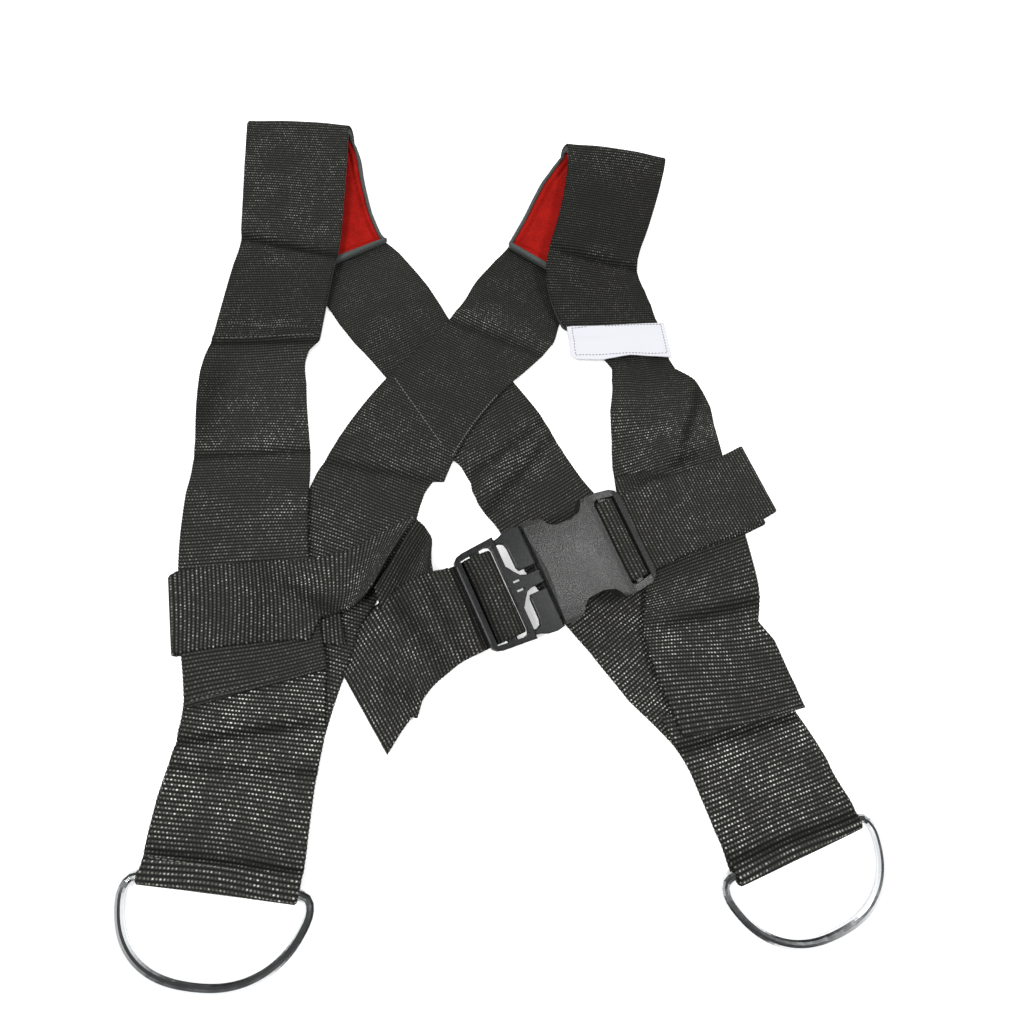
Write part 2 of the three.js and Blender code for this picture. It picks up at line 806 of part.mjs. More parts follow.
// Buckle
add("buckle_socket", toGeometry(socket()), acetal(), buckleFrame);
add("buckle_plug", toGeometry(plug()), acetal(), buckleFrame);
add("upper_release_arm", toGeometry(arm(1)), acetal(), buckleFrame);
add("lower_release_arm", toGeometry(arm(-1)), acetal(), buckleFrame);

// Belt loops round the front straps. The fold's radius is half the drop from over to under.
function beltLoop(name, under, over, ending) {
  const low = stations(under);
  const high = stations(over);
  const [before, turned] = low.slice(-2);
  const turn = under.at(-1)[3];
  const radius = (high[0].at.z - turned.at.z) / 2;
  const centre = turned.at.clone().setZ(turned.at.z + radius);
  const heading = turn + (before.at.x > turned.at.x ? 90 : -90);
  const fold = bend(centre, heading, turn, radius, halfTurn, beltFoldCells).slice(1, -1);
  strap(name, smoothed([...low, ...fold, ...high, ...ending]), beltWidth);
}
beltLoop("left_belt_loop", beltLeftUnderShares, beltLeftOverShares, []);
beltLoop("right_belt_loop", beltRightUnderShares, beltRightOverShares, enter(socketSide));

// Belt runs, free tails and the webs over the buckle's bars
const leftRun = [...stations(beltLeftRunShares), ...enter(plugSide)];
const leftTail = [...leave(plugSide), ...stations(beltLeftTailShares)];
const rightTail = [...leave(socketSide), ...stations(beltRightTailShares)];
strap("left_belt_run", smoothed(leftRun), beltWidth);
strap("left_belt_tail", smoothed(leftTail), beltWidth);
strap("right_belt_tail", smoothed(rightTail), beltWidth);
strap("left_belt_wrap", smoothed(wrapRows(plugSide)), beltWidth, buckleFrame);
strap("right_belt_wrap", smoothed(wrapRows(socketSide)), beltWidth, buckleFrame);

// Label on the right pad's front end
const labelEdges = [-labelLength / 2, labelLength / 2];
add("pad_label", sheet(smoothed(stations(labelShares)), labelEdges, labelThickness), woven());

// Stand the harness on the floor, centred over the origin.
harness.updateMatrixWorld(true);
const box = new THREE.Box3().setFromObject(harness, true);
const middle = box.getCenter(point());
harness.position.set(-middle.x, -middle.y, -box.min.z);
harness.updateMatrixWorld(true);

export default harness;
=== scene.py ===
"""A shoulder harness for pulling a sled, dressed over its CAD frame.

The harness lies flat: two long 76 mm webbings cross at the back and fold over two lined
shoulder pads, a 52 mm belt joins them with a side-release buckle, and each leg ends in a D-ring.
"""

import logging
import math
from collections.abc import Sequence
from dataclasses import dataclass, field
from enum import Enum
from functools import partial

import bmesh
import bpy
import numpy as np
from mathutils import Matrix, Vector

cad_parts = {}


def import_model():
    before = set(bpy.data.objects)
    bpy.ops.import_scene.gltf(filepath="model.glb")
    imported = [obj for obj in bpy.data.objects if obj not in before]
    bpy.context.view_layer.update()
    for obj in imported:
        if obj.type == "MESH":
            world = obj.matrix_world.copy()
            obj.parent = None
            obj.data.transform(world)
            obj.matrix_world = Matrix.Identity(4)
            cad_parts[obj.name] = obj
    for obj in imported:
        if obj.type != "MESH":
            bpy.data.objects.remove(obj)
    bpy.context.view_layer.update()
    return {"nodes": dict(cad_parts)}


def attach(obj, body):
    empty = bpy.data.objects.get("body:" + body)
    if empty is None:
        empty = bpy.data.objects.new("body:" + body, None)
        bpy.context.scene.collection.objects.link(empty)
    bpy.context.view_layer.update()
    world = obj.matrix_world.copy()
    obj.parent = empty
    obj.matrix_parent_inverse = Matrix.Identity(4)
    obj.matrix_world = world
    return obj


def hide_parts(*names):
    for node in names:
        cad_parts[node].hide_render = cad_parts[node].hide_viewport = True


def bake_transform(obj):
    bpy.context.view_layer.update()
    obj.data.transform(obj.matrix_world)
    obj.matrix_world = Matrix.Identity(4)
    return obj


log = logging.getLogger("harness")

MM = 0.001

# Where the plan's origin, between the legs at the rings' height, lies in the row frame, in mm.
PLAN_SHIFT = np.array([-3.75243, -268.10361, 0.08755])

# Webbing, in mm
WIDE_WEB = 76.2
BELT_WEB = 52.0
WEB_THICKNESS = 2.0
PIECE_GAP = 0.3
ROW_PITCH = 2.3
DOT_PITCH = 1.9
BELT_COLUMNS = 24

# Slow waves in the weave: size, scale along and scale across in mm, and phase.
DRIFT_WAVES = ((0.6, 31, 19, 0), (0.35, 53, -11, 2))

# Samples
STEPS_A_ROW = 4
CURVE_SAMPLES = 48
LEAST_GAP = 1e-4

# The share of the yarn's colour that a crease's full painted shade takes away.
CREASE_SHADE = 0.75

# The powers by which an edge's beads fade inward and a slanted cut fades along.
BEAD_POWER = 8
SLANT_POWER = 1.5

# Pads, in mm
LINING_THICKNESS = 4.0
BINDING_THICKNESS = 4.6
SIDE_FACE = 2.9
END_FACE = 4.8
TAPE_INSET = 0.4
FOLD_RADIUS = 8.0

# Rings, in mm
WIRE = 5.0

# Buckle, in mm along its axis from the socket's mouth
SOCKET_BAR = 56.3
PLUG_BAR = -32.42
PLUG_SLOT_SHARE = 1.4
LEAD = 8.0


class Part(Enum):
    """The CAD bodies that the scene's own pieces ride on."""

    HARNESS = "harness"
    PLUG = "plug"


class Slot(Enum):
    """The record's material slots."""

    WEBBING = "webbing"
    FELT = "felt"
    TAPE = "tape"
    ACETAL = "acetal"
    CHROME = "chrome"
    LABEL = "label"


# Finishes

Inputs = dict[str | int, object] | Sequence[object]

# The mixing node's numbers for its two colours and its mixed colour.
FIRST_COLOUR, SECOND_COLOUR, MIXED_COLOUR = 6, 7, 2


def linear(hex_colour: str) -> tuple[float, float, float, float]:
    """Turn an sRGB hex colour into Blender's linear colour.

    Args:
        hex_colour: six hex digits.

    Returns:
        Linear red, green, blue and an alpha of 1.
    """
    parts = [int(hex_colour[i : i + 2], 16) / 255 for i in (0, 2, 4)]
    made = [c / 12.92 if c <= 0.04045 else ((c + 0.055) / 1.055) ** 2.4 for c in parts]
    return (made[0], made[1], made[2], 1.0)


def feed(node: bpy.types.Node, inputs: Inputs) -> None:
    """Set or link a node's inputs.

    Args:
        node: the node.
        inputs: what goes in, by name or number, or in order. A socket is linked, a node is
            linked by its first output, and anything else is set.
    """
    named = inputs.items() if isinstance(inputs, dict) else enumerate(inputs)
    for name, value in named:
        source = value.outputs[0] if isinstance(value, bpy.types.Node) else value
        if isinstance(source, bpy.types.NodeSocket):
            node.id_data.links.new(source, node.inputs[name])
        else:
            node.inputs[name].default_value = source


def add_node(
    tree: bpy.types.NodeTree,
    kind: str,
    inputs: Inputs = (),
    stops: Sequence[tuple[float, str]] = (),
    **settings: object,
) -> bpy.types.Node:
    """Add a shader node with its settings and links.

    Args:
        tree: the node tree that gets it.
        kind: its Blender type, without the word that every type begins with.
        inputs: what goes in, as feed takes it.
        stops: a colour ramp's two places from 0 to 1, with their hex colours.
        **settings: its properties.

    Returns:
        The node.
    """
    node = tree.nodes.new(f"ShaderNode{kind}")
    for name, value in settings.items():
        setattr(node, name, value)
    feed(node, inputs)
    if stops:
        for element, (place, colour) in zip(node.color_ramp.elements, stops):
            element.position = place
            element.color = linear(colour)
    return node


def blank_material(name: str) -> tuple[bpy.types.Material, bpy.types.Node]:
    """Make a material that holds only a Principled shader and its output.

    Args:
        name: the material's name.

    Returns:
        The material and its Principled node.
    """
    material = bpy.data.materials.new(name)
    material.use_nodes = True
    tree = material.node_tree
    tree.nodes.clear()
    shader = add_node(tree, "BsdfPrincipled")
    add_node(tree, "OutputMaterial", {"Surface": shader})
    return material, shader


@dataclass(frozen=True)
class WovenPolyester:
    """Polyester webbing, plain woven from thick spun yarn.

    Each weft row shows as a line of rounded yarn crowns. The glints on the crowns are painted
    highlights in the base colour, and the gaps between them are painted shade, nearly black.

    Attributes:
        row_pitch, dot_pitch: the crowns' spacing along and across the webbing, in mm.
        row_crispness, dot_crispness: how small a crown's painted highlight is, along and across.
        rarity, least_glint: how few crowns get the full painted highlight, and the dimmest one's share.
        drift: how far loose yarn moves the crowns across, in crowns.
        loose_per_mm, patch_per_mm, fibre_per_mm: swings of the noise on a millimetre.
        patch_limits, patch_light: where patches are dim and bright, and their painted highlight there.
        dot_depth: how deep the dips between the crowns of a row are.
        crown_limits: the heights at which a crown shows the gaps' painted shade and the yarn's colour.
        fibre_relief, relief: the fibres' share of the height, and a crown's height in mm.
    """

    name: str = "polyester_webbing"
    gap_shade_colour: str = "181817"
    yarn_colour: str = "353531"
    painted_glint_colour: str = "dcdcd4"
    row_pitch: float = ROW_PITCH
    dot_pitch: float = DOT_PITCH
    row_crispness: float = 12.0
    dot_crispness: float = 4.0
    rarity: float = 2.0
    least_glint: float = 0.08
    drift: float = 0.9
    loose_per_mm: float = 0.32
    patch_per_mm: float = 0.045
    fibre_per_mm: float = 2.2
    patch_limits: tuple[float, float] = (0.36, 0.64)
    patch_light: tuple[float, float] = (0.25, 1.4)
    dot_depth: float = 0.5
    crown_limits: tuple[float, float] = (0.2, 0.9)
    fibre_relief: float = 0.25
    relief: float = 0.35
    bump: float = 0.7
    gap_roughness: float = 0.9
    crown_roughness: float = 0.55
    shine: float = 0.1

    def make(self) -> bpy.types.Material:
        """Build the material.

        Returns:
            The material.
        """
        material, shader = blank_material(self.name)
        tree = material.node_tree
        add = partial(add_node, tree)
        place = add("Attribute", attribute_name="weave").outputs["Vector"]
        axes = add("SeparateXYZ", (place,)).outputs
        row = add("Math", (axes["Y"], self.row_pitch), operation="DIVIDE")
        row_number = add("Math", (row,), operation="FLOOR")
        odd = add("Math", (row_number, 1.0), operation="PINGPONG")
        dots = add("Math", (axes["X"], self.dot_pitch), operation="DIVIDE")
        loose = add("TexNoise", {"Vector": place, "Scale": self.loose_per_mm, "Detail": 2.0})
        dots = add("Math", (loose, self.drift, dots), operation="MULTIPLY_ADD")
        dot = add("Math", (odd, 0.5, dots), operation="MULTIPLY_ADD")
        dot_number = add("Math", (dot,), operation="FLOOR")
        row_wave, dot_wave = self.hump(tree, row), self.hump(tree, dot)
        depth = self.dot_depth
        dip = add("Math", (dot_wave, depth, 1 - depth), operation="MULTIPLY_ADD")
        crown = add("Math", (row_wave, dip), operation="MULTIPLY")
        glint = self.glints(tree, place, (dot_number, row_number), (row_wave, dot_wave))
        low, high = self.crown_limits
        # Painted shade: the gaps between the crowns take a near-black colour.
        yarn = add("ValToRGB", {"Fac": crown}, ((low, self.gap_shade_colour), (high, self.yarn_colour)))
        # Painted shade: the shade attribute darkens the yarn at creases and along whole stretches.
        shade = add("Attribute", attribute_name="shade").outputs["Fac"]
        yarn = add("VectorMath", {0: yarn, "Scale": shade}, operation="SCALE")
        # Painted highlight: the glints mix a pale colour into the base colour.
        light = linear(self.painted_glint_colour)
        mixed = {"Factor": glint, FIRST_COLOUR: yarn, SECOND_COLOUR: light}
        colour = add("Mix", mixed, data_type="RGBA").outputs[MIXED_COLOUR]
        fibres = add("TexNoise", {"Vector": place, "Scale": self.fibre_per_mm, "Detail": 3.0})
        height = add("Math", (fibres, self.fibre_relief, crown), operation="MULTIPLY_ADD")
        depth = self.relief * MM
        bump = add("Bump", {"Height": height, "Strength": self.bump, "Distance": depth})
        limits = {"To Min": self.gap_roughness, "To Max": self.crown_roughness}
        rough = add("MapRange", {"Value": crown, **limits})
        looks = {"Base Color": colour, "Roughness": rough, "Normal": bump}
        feed(shader, {**looks, "Specular IOR Level": self.shine})
        return material

    def glints(
        self,
        tree: bpy.types.NodeTree,
        place: bpy.types.NodeSocket,
        cell: tuple[bpy.types.Node, bpy.types.Node],
        waves: tuple[bpy.types.Node, bpy.types.Node],
    ) -> bpy.types.Node:
        """Give how strongly the painted highlights show on the crowns.

        Each crown has its own luck, brighter and dimmer patches wander over the cloth, and the
        webbing's sheen attribute paints more glints where it was turned to the light.

        Args:
            tree: the node tree.
            place: the place on the cloth.
            cell: the crown's number across and its row's number.
            waves: the height along and across a crown.

        Returns:
            The node that gives the painted highlight's share, from 0 to 1.
        """
        add = partial(add_node, tree)
        number = add("CombineXYZ", cell)
        luck = add("TexWhiteNoise", (number,), noise_dimensions="2D")
        luck = add("Math", (luck, self.rarity), operation="POWER")
        least = self.least_glint
        luck = add("Math", (luck, 1 - least, least), operation="MULTIPLY_ADD")
        patches = {"Vector": place, "Scale": self.patch_per_mm, "Detail": 2.0, "Roughness": 0.55}
        limits = dict(zip(("From Min", "From Max"), self.patch_limits))
        limits |= dict(zip(("To Min", "To Max"), self.patch_light))
        patch = add("MapRange", {"Value": add("TexNoise", patches), **limits})
        # Painted highlight strength, set place by place along the webbing.
        sheen = add("Attribute", attribute_name="sheen").outputs["Fac"]
        strength = add("Math", (patch, sheen), operation="MULTIPLY")
        crispness = (self.row_crispness, self.dot_crispness)
        tips = [add("Math", pair, operation="POWER") for pair in zip(waves, crispness)]
        tip = add("Math", tips, operation="MULTIPLY")
        light = add("Math", (luck, strength), operation="MULTIPLY")
        light = add("Math", (tip, light), operation="MULTIPLY")
        return add("Math", (light, 1.0), operation="MINIMUM")

    @staticmethod
    def hump(tree: bpy.types.NodeTree, phase: bpy.types.Node) -> bpy.types.Node:
        """Give a half wave over each whole step of a phase."""
        part = add_node(tree, "Math", (phase,), operation="FRACT")
        angle = add_node(tree, "Math", (part, math.pi), operation="MULTIPLY")
        return add_node(tree, "Math", (angle,), operation="SINE")


@dataclass(frozen=True)
class RedFelt:
    """Wool-blend felt, needled: matt, fuzzy, with darker specks where fibres lie open.

    Attributes:
        fuzz_per_mm, blotch_per_mm: swings of the noise on a millimetre.
        fuzz_share: how much of the colour's change is fuzz; blotches have the rest.
        limits: where the mixed noise counts as an open speck and as wool.
        relief: the fuzz's height, in mm.
    """

    name: str = "needled_red_felt"
    colour: str = "a61912"
    deep_colour: str = "760d09"
    sheen_colour: str = "c04038"
    fuzz_per_mm: float = 0.9
    blotch_per_mm: float = 0.09
    fuzz_share: float = 0.7
    limits: tuple[float, float] = (0.32, 0.62)
    relief: float = 0.4
    bump: float = 0.5
    roughness: float = 0.95
    sheen: float = 0.06
    sheen_roughness: float = 0.5
    shine: float = 0.1

    def make(self) -> bpy.types.Material:
        """Build the material.

        Returns:
            The material.
        """
        material, shader = blank_material(self.name)
        add = partial(add_node, material.node_tree)
        place = add("TexCoord").outputs["Object"]
        fine = {"Vector": place, "Scale": self.fuzz_per_mm / MM, "Detail": 4.0, "Roughness": 0.65}
        fuzz = add("TexNoise", fine)
        blotch = add("TexNoise", {"Vector": place, "Scale": self.blotch_per_mm / MM, "Detail": 2.0})
        share = self.fuzz_share
        fuzz_part = add("Math", (fuzz, share), operation="MULTIPLY")
        mixed = add("Math", (blotch, 1 - share, fuzz_part), operation="MULTIPLY_ADD")
        stops = tuple(zip(self.limits, (self.deep_colour, self.colour)))
        colour = add("ValToRGB", {"Fac": mixed}, stops)
        depth = self.relief * MM
        bump = add("Bump", {"Height": fuzz, "Strength": self.bump, "Distance": depth})
        looks = {"Base Color": colour, "Normal": bump, "Roughness": self.roughness}
        looks |= {"Sheen Weight": self.sheen, "Sheen Roughness": self.sheen_roughness}
        looks |= {"Sheen Tint": linear(self.sheen_colour), "Specular IOR Level": self.shine}
        feed(shader, looks)
        return material


@dataclass(frozen=True)
class FoldedTape:
    """Grosgrain binding tape, ribbed across: matt grey with fine ribs.

    Attributes:
        rib_pitch: the ribs' spacing, in mm.
        rib_share: how much the ribs change the colour beside the fibres; the ribs' darker grooves are
            painted shade, and the fibres' change is the tape's own tone.
        fibre_per_mm: swings of the fibres' noise on a millimetre.
        limits: where the mixed noise counts as groove and as rib.
        relief: the ribs' height, in mm.
    """

    name: str = "grosgrain_tape"
    colour: str = "515755"
    deep_colour: str = "383d3c"
    rib_pitch: float = 0.9
    rib_share: float = 0.12
    fibre_per_mm: float = 1.1
    limits: tuple[float, float] = (0.3, 0.7)
    relief: float = 0.15
    bump: float = 0.5
    roughness: float = 0.85

    def make(self) -> bpy.types.Material:
        """Build the material.

        Returns:
            The material.
        """
        material, shader = blank_material(self.name)
        add = partial(add_node, material.node_tree)
        place = add("Attribute", attribute_name="weave").outputs["Vector"]
        along = add("SeparateXYZ", (place,)).outputs["Y"]
        angle = add("Math", (along, math.tau / self.rib_pitch), operation="MULTIPLY")
        rib = add("Math", (angle,), operation="SINE")
        fuzz = add("TexNoise", {"Vector": place, "Scale": self.fibre_per_mm, "Detail": 3.0})
        # Painted shade in the rib grooves, mixed with the fibres' own tone.
        mixed = add("Math", (rib, self.rib_share, fuzz), operation="MULTIPLY_ADD")
        stops = tuple(zip(self.limits, (self.deep_colour, self.colour)))
        colour = add("ValToRGB", {"Fac": mixed}, stops)
        depth = self.relief * MM
        bump = add("Bump", {"Height": rib, "Strength": self.bump, "Distance": depth})
        feed(shader, {"Base Color": colour, "Normal": bump, "Roughness": self.roughness})
        return material


@dataclass(frozen=True)
class MouldedAcetal:
    """Acetal, injection moulded: black with a fine even grain from its tool and a soft shine.

    Attributes:
        colour, glint_tip_colour: the grain's hollows, and its tips made lighter as a painted
        speckled highlight.
        grain, relief: the grain's size and height, in mm.
        handling_per_mm: swings on a millimetre of the patches that handling polished.
        polished, dulled: how far handling takes the roughness down and up.
        limits: where the grain's noise counts as hollow and as tip.
    """

    name: str
    colour: str
    glint_tip_colour: str
    grain: float
    relief: float
    roughness: float
    shine: float
    handling_per_mm: float = 0.07
    polished: float = 0.06
    dulled: float = 0.1
    limits: tuple[float, float] = (0.4, 0.62)
    bump: float = 0.8

    def make(self) -> bpy.types.Material:
        """Build the material.

        Returns:
            The material.
        """
        material, shader = blank_material(self.name)
        add = partial(add_node, material.node_tree)
        place = add("TexCoord").outputs["Object"]
        fine = {"Vector": place, "Scale": 1 / (self.grain * MM), "Detail": 2.0, "Roughness": 0.6}
        grain = add("TexNoise", fine)
        scale = self.handling_per_mm / MM
        handling = add("TexNoise", {"Vector": place, "Scale": scale, "Detail": 3.0})
        # Painted highlight: the grain's tips are lighter, standing for the speckled glints of the grain.
        stops = tuple(zip(self.limits, (self.colour, self.glint_tip_colour)))
        colour = add("ValToRGB", {"Fac": grain}, stops)
        least, most = self.roughness - self.polished, self.roughness + self.dulled
        rough = add("MapRange", {"Value": handling, "To Min": least, "To Max": most})
        depth = self.relief * MM
        bump = add("Bump", {"Height": grain, "Strength": self.bump, "Distance": depth})
        looks = {"Base Color": colour, "Roughness": rough, "Normal": bump}
        feed(shader, {**looks, "Specular IOR Level": self.shine})
        return material


@dataclass(frozen=True)
class ChromedSteel:
    """Steel wire, chrome plated and polished: mirror bright, with faint drawing marks.

    Attributes:
        mark_per_mm: swings of the marks' noise on a millimetre.
        least, most: the roughness of the polish and of the marks.
    """

    name: str = "chromed_steel_wire"
    colour: str = "e4e6e8"
    mark_per_mm: float = 0.26
    least: float = 0.07
    most: float = 0.2

    def make(self) -> bpy.types.Material:
        """Build the material.

        Returns:
            The material.
        """
        material, shader = blank_material(self.name)
        add = partial(add_node, material.node_tree)
        place = add("TexCoord").outputs["Object"]
        marks = add("TexNoise", {"Vector": place, "Scale": self.mark_per_mm / MM, "Detail": 3.0})
        rough = add("MapRange", {"Value": marks, "To Min": self.least, "To Max": self.most})
        looks = {"Base Color": linear(self.colour), "Metallic": 1.0, "Roughness": rough}
        feed(shader, looks)
        return material


@dataclass(frozen=True)
class WovenLabel:
    """Satin woven polyester label: white, smooth, with a faint darker thread line that is painted shade.

    Attributes:
        thread_scale: the threads' wave, per mm; drawn coarser than real so that it shows.
        line_end: where a thread's wave leaves the painted shade of the line between threads.
        relief: the threads' height, in mm.
    """

    name: str = "woven_white_label"
    colour: str = "d8d8dd"
    deep_colour: str = "c2c3cc"
    thread_scale: float = 0.7
    line_end: float = 0.55
    relief: float = 0.06
    bump: float = 0.3
    roughness: float = 0.6

    def make(self) -> bpy.types.Material:
        """Build the material.

        Returns:
            The material.
        """
        material, shader = blank_material(self.name)
        add = partial(add_node, material.node_tree)
        place = add("Attribute", attribute_name="weave").outputs["Vector"]
        wave = {"Vector": place, "Scale": self.thread_scale, "Distortion": 0.6, "Detail": 1.0}
        bands = add("TexWave", wave, wave_type="BANDS", bands_direction="X")
        threads = bands.outputs["Fac"]
        stops = ((0.0, self.deep_colour), (self.line_end, self.colour))
        colour = add("ValToRGB", {"Fac": threads}, stops)
        depth = self.relief * MM
        bump = add("Bump", {"Height": threads, "Strength": self.bump, "Distance": depth})
        feed(shader, {"Base Color": colour, "Normal": bump, "Roughness": self.roughness})
        return material


@dataclass(frozen=True)
class SewingThread:
    """Bonded nylon thread, twisted: its filaments shine a little.

    Attributes:
        twist_per_mm: swings of the twist's noise on a millimetre.
        limits: where that noise counts as groove and as filament.
    """

    name: str
    colour: str
    deep_colour: str
    twist_per_mm: float = 1.8
    limits: tuple[float, float] = (0.35, 0.65)
    roughness: float = 0.5

    def make(self) -> bpy.types.Material:
        """Build the material.

        Returns:
            The material.
        """
        material, shader = blank_material(self.name)
        add = partial(add_node, material.node_tree)
        place = add("TexCoord").outputs["Object"]
        twist = add("TexNoise", {"Vector": place, "Scale": self.twist_per_mm / MM, "Detail": 2.0})
        stops = tuple(zip(self.limits, (self.deep_colour, self.colour)))
        colour = add("ValToRGB", {"Fac": twist}, stops)
        feed(shader, {"Base Color": colour, "Roughness": self.roughness})
        return material


# Each moulding's second colour lightens its grain's tips: a painted speckled highlight.
GRAINED_ACETAL = MouldedAcetal(
    "spark_grained_acetal", "181818", "343432", grain=0.8, relief=0.22, roughness=0.28, shine=0.36
)
POLISHED_ACETAL = MouldedAcetal(
    "polished_acetal", "1c1d1e", "262727", grain=1.6, relief=0.02, roughness=0.26, shine=0.14
)
# The pale and the grey thread also make the dashes that paint highlights along two edges.
DARK_THREAD = SewingThread("black_sewing_thread", "3c3c3a", "1d1d1c")
PALE_THREAD = SewingThread("pale_sewing_thread", "8f8d84", "5d5b55")
GREY_THREAD = SewingThread("grey_sewing_thread", "6c6b65", "403f3b")


@dataclass
class Finishes:
    """Every material of the harness, made once."""

    webbing: bpy.types.Material = field(default_factory=WovenPolyester().make)
    felt: bpy.types.Material = field(default_factory=RedFelt().make)
    tape: bpy.types.Material = field(default_factory=FoldedTape().make)
    grained_acetal: bpy.types.Material = field(default_factory=GRAINED_ACETAL.make)
    polished_acetal: bpy.types.Material = field(default_factory=POLISHED_ACETAL.make)
    chrome: bpy.types.Material = field(default_factory=ChromedSteel().make)
    label: bpy.types.Material = field(default_factory=WovenLabel().make)
    dark_thread: bpy.types.Material = field(default_factory=DARK_THREAD.make)
    pale_thread: bpy.types.Material = field(default_factory=PALE_THREAD.make)
    grey_thread: bpy.types.Material = field(default_factory=GREY_THREAD.make)


# Webbing geometry

Row = tuple[float, ...]


@dataclass(frozen=True)
class Edge:
    """How far one stretch of a webbing's edges departs from its even width, in mm."""

    along: float
    left: float
    right: float


def edges(*rows: tuple[float, float, float]) -> tuple[Edge, ...]:
    """Give edges from rows of distance along, left and right."""
    return tuple(Edge(*row) for row in rows)


@dataclass(frozen=True)
class Crease:
    """A soft ridge or dent in a webbing, with painted glints and painted shade along it.

    Attributes:
        along, across: its middle on the webbing, in mm.
        turn: its direction from straight across, in degrees.
        length, width: its size along and across its own line, in mm.
        height: how far it rises, in mm, or sinks where it is less than zero.
        painted_dimming: the share of the painted glints that it takes away, or adds where it is less
            than zero; where it takes them away, it also darkens the yarn with painted shade.
    """

    along: float
    across: float
    turn: float
    length: float
    width: float
    height: float
    painted_dimming: float = 0.0

    def shape(self, along: np.ndarray, across: np.ndarray) -> np.ndarray:
        """Give how fully it shows.

        Args:
            along: distances along the webbing, in mm.
            across: distances across it, in mm.

        Returns:
            For each place, a share from 0 to 1.
        """
        c, s = math.cos(math.radians(self.turn)), math.sin(math.radians(self.turn))
        x = (across - self.across) * c + (along - self.along) * s
        y = (along - self.along) * c - (across - self.across) * s
        return np.exp(-((x / self.length) ** 4) - (y / self.width) ** 2)


def waver(run: np.ndarray, across: np.ndarray) -> np.ndarray:
    """Give how far the weave's rows drift from their even pitch at places, in mm."""
    return sum(size * np.sin(run / a + across / b + phase) for size, a, b, phase in DRIFT_WAVES)


def direction(turn: float, climb: float = 0.0) -> np.ndarray:
    """Give a unit vector from its turn from +X and its climb, in degrees."""
    turn, climb = math.radians(turn), math.radians(climb)
    flat = math.cos(climb)
    return np.array([math.cos(turn) * flat, math.sin(turn) * flat, math.sin(climb)])


def normalised(vectors: np.ndarray) -> np.ndarray:
    """Give the unit vectors along rows of vectors."""
    return vectors / np.linalg.norm(vectors, axis=1)[:, None]


def run_along(points: np.ndarray) -> np.ndarray:
    """Give how far each point lies along the line through all of them."""
    return np.concatenate([[0], np.cumsum(np.linalg.norm(np.diff(points, axis=0), axis=1))])


@dataclass
class Stations:
    """A list of places along a webbing, with the direction across it and its share of width."""

    at: list[np.ndarray] = field(default_factory=list)
    side: list[np.ndarray] = field(default_factory=list)
    share: list[float] = field(default_factory=list)

    def add(self, at: np.ndarray, side: np.ndarray, share: float = 1.0) -> None:
        """Append one place."""
        self.at.append(np.asarray(at, float))
        self.side.append(np.asarray(side, float))
        self.share.append(share)

    def part(self, chosen: slice) -> "Stations":
        """Give the stations that a slice chooses, in its order."""
        return Stations(self.at[chosen], self.side[chosen], self.share[chosen])

    def turned(self) -> "Stations":
        """Give the same stations in the other order."""
        return self.part(slice(None, None, -1))

    def bend(
        self,
        centre: Sequence[float],
        heading: float,
        turn: float,
        radius: float,
        span: tuple[float, float],
        count: int,
    ) -> "Stations":
        """Append a bend in the upright plane that holds the heading.

        Args:
            centre: the bend's centre.
            heading: the way it bulges, in degrees from +X.
            turn: the direction across the webbing.
            radius: the bend's radius.
            span: its first and last angle, from level.
            count: how many steps it takes.

        Returns:
            These stations.
        """
        out = direction(heading)
        for i in range(count + 1):
            angle = math.radians(span[0] + (span[1] - span[0]) * i / count)
            at = np.array(centre) + out * math.cos(angle) * radius
            at[2] += math.sin(angle) * radius
            self.add(at, direction(turn))
        return self


def along_rows(table: Sequence[Row]) -> Stations:
    """Turn rows into stations.

    Args:
        table: rows of x, y, height, the turn across, its climb and the share of width.

    Returns:
        The stations.
    """
    made = Stations()
    for row in table:
        climb = row[4] if len(row) > 4 else 0.0
        share = row[5] if len(row) > 5 else 1.0
        made.add(np.array(row[:3]), direction(row[3], climb), share)
    return made


def curve_points(points: np.ndarray, per_span: int) -> tuple[np.ndarray, np.ndarray]:
    """Sample a centripetal Catmull-Rom curve through points.

    Args:
        points: the points it passes, in order.
        per_span: samples from each point to the next.

    Returns:
        The samples and, for each, how many points lie behind it with the share to the next.
    """
    padded = np.vstack([2 * points[0] - points[1], points, 2 * points[-1] - points[-2]])
    gaps = np.maximum(np.linalg.norm(np.diff(padded, axis=0), axis=1) ** 0.5, LEAST_GAP)
    made, places = [], []
    shares = np.arange(per_span) / per_span
    for i in range(len(points) - 1):
        p0, p1, p2, p3 = padded[i : i + 4]
        d0, d1, d2 = gaps[i : i + 3]
        m1 = ((p1 - p0) / d0 - (p2 - p0) / (d0 + d1) + (p2 - p1) / d1) * d1
        m2 = ((p2 - p1) / d1 - (p3 - p1) / (d1 + d2) + (p3 - p2) / d2) * d1
        t = shares[:, None]
        square = (-3 * p1 + 3 * p2 - 2 * m1 - m2) * t**2
        made.append(p1 + m1 * t + square + (2 * p1 - 2 * p2 + m1 + m2) * t**3)
        places.append(i + shares)
    made.append(points[-1:])
    places.append(np.array([len(points) - 1.0]))
    return np.vstack(made), np.concatenate(places)


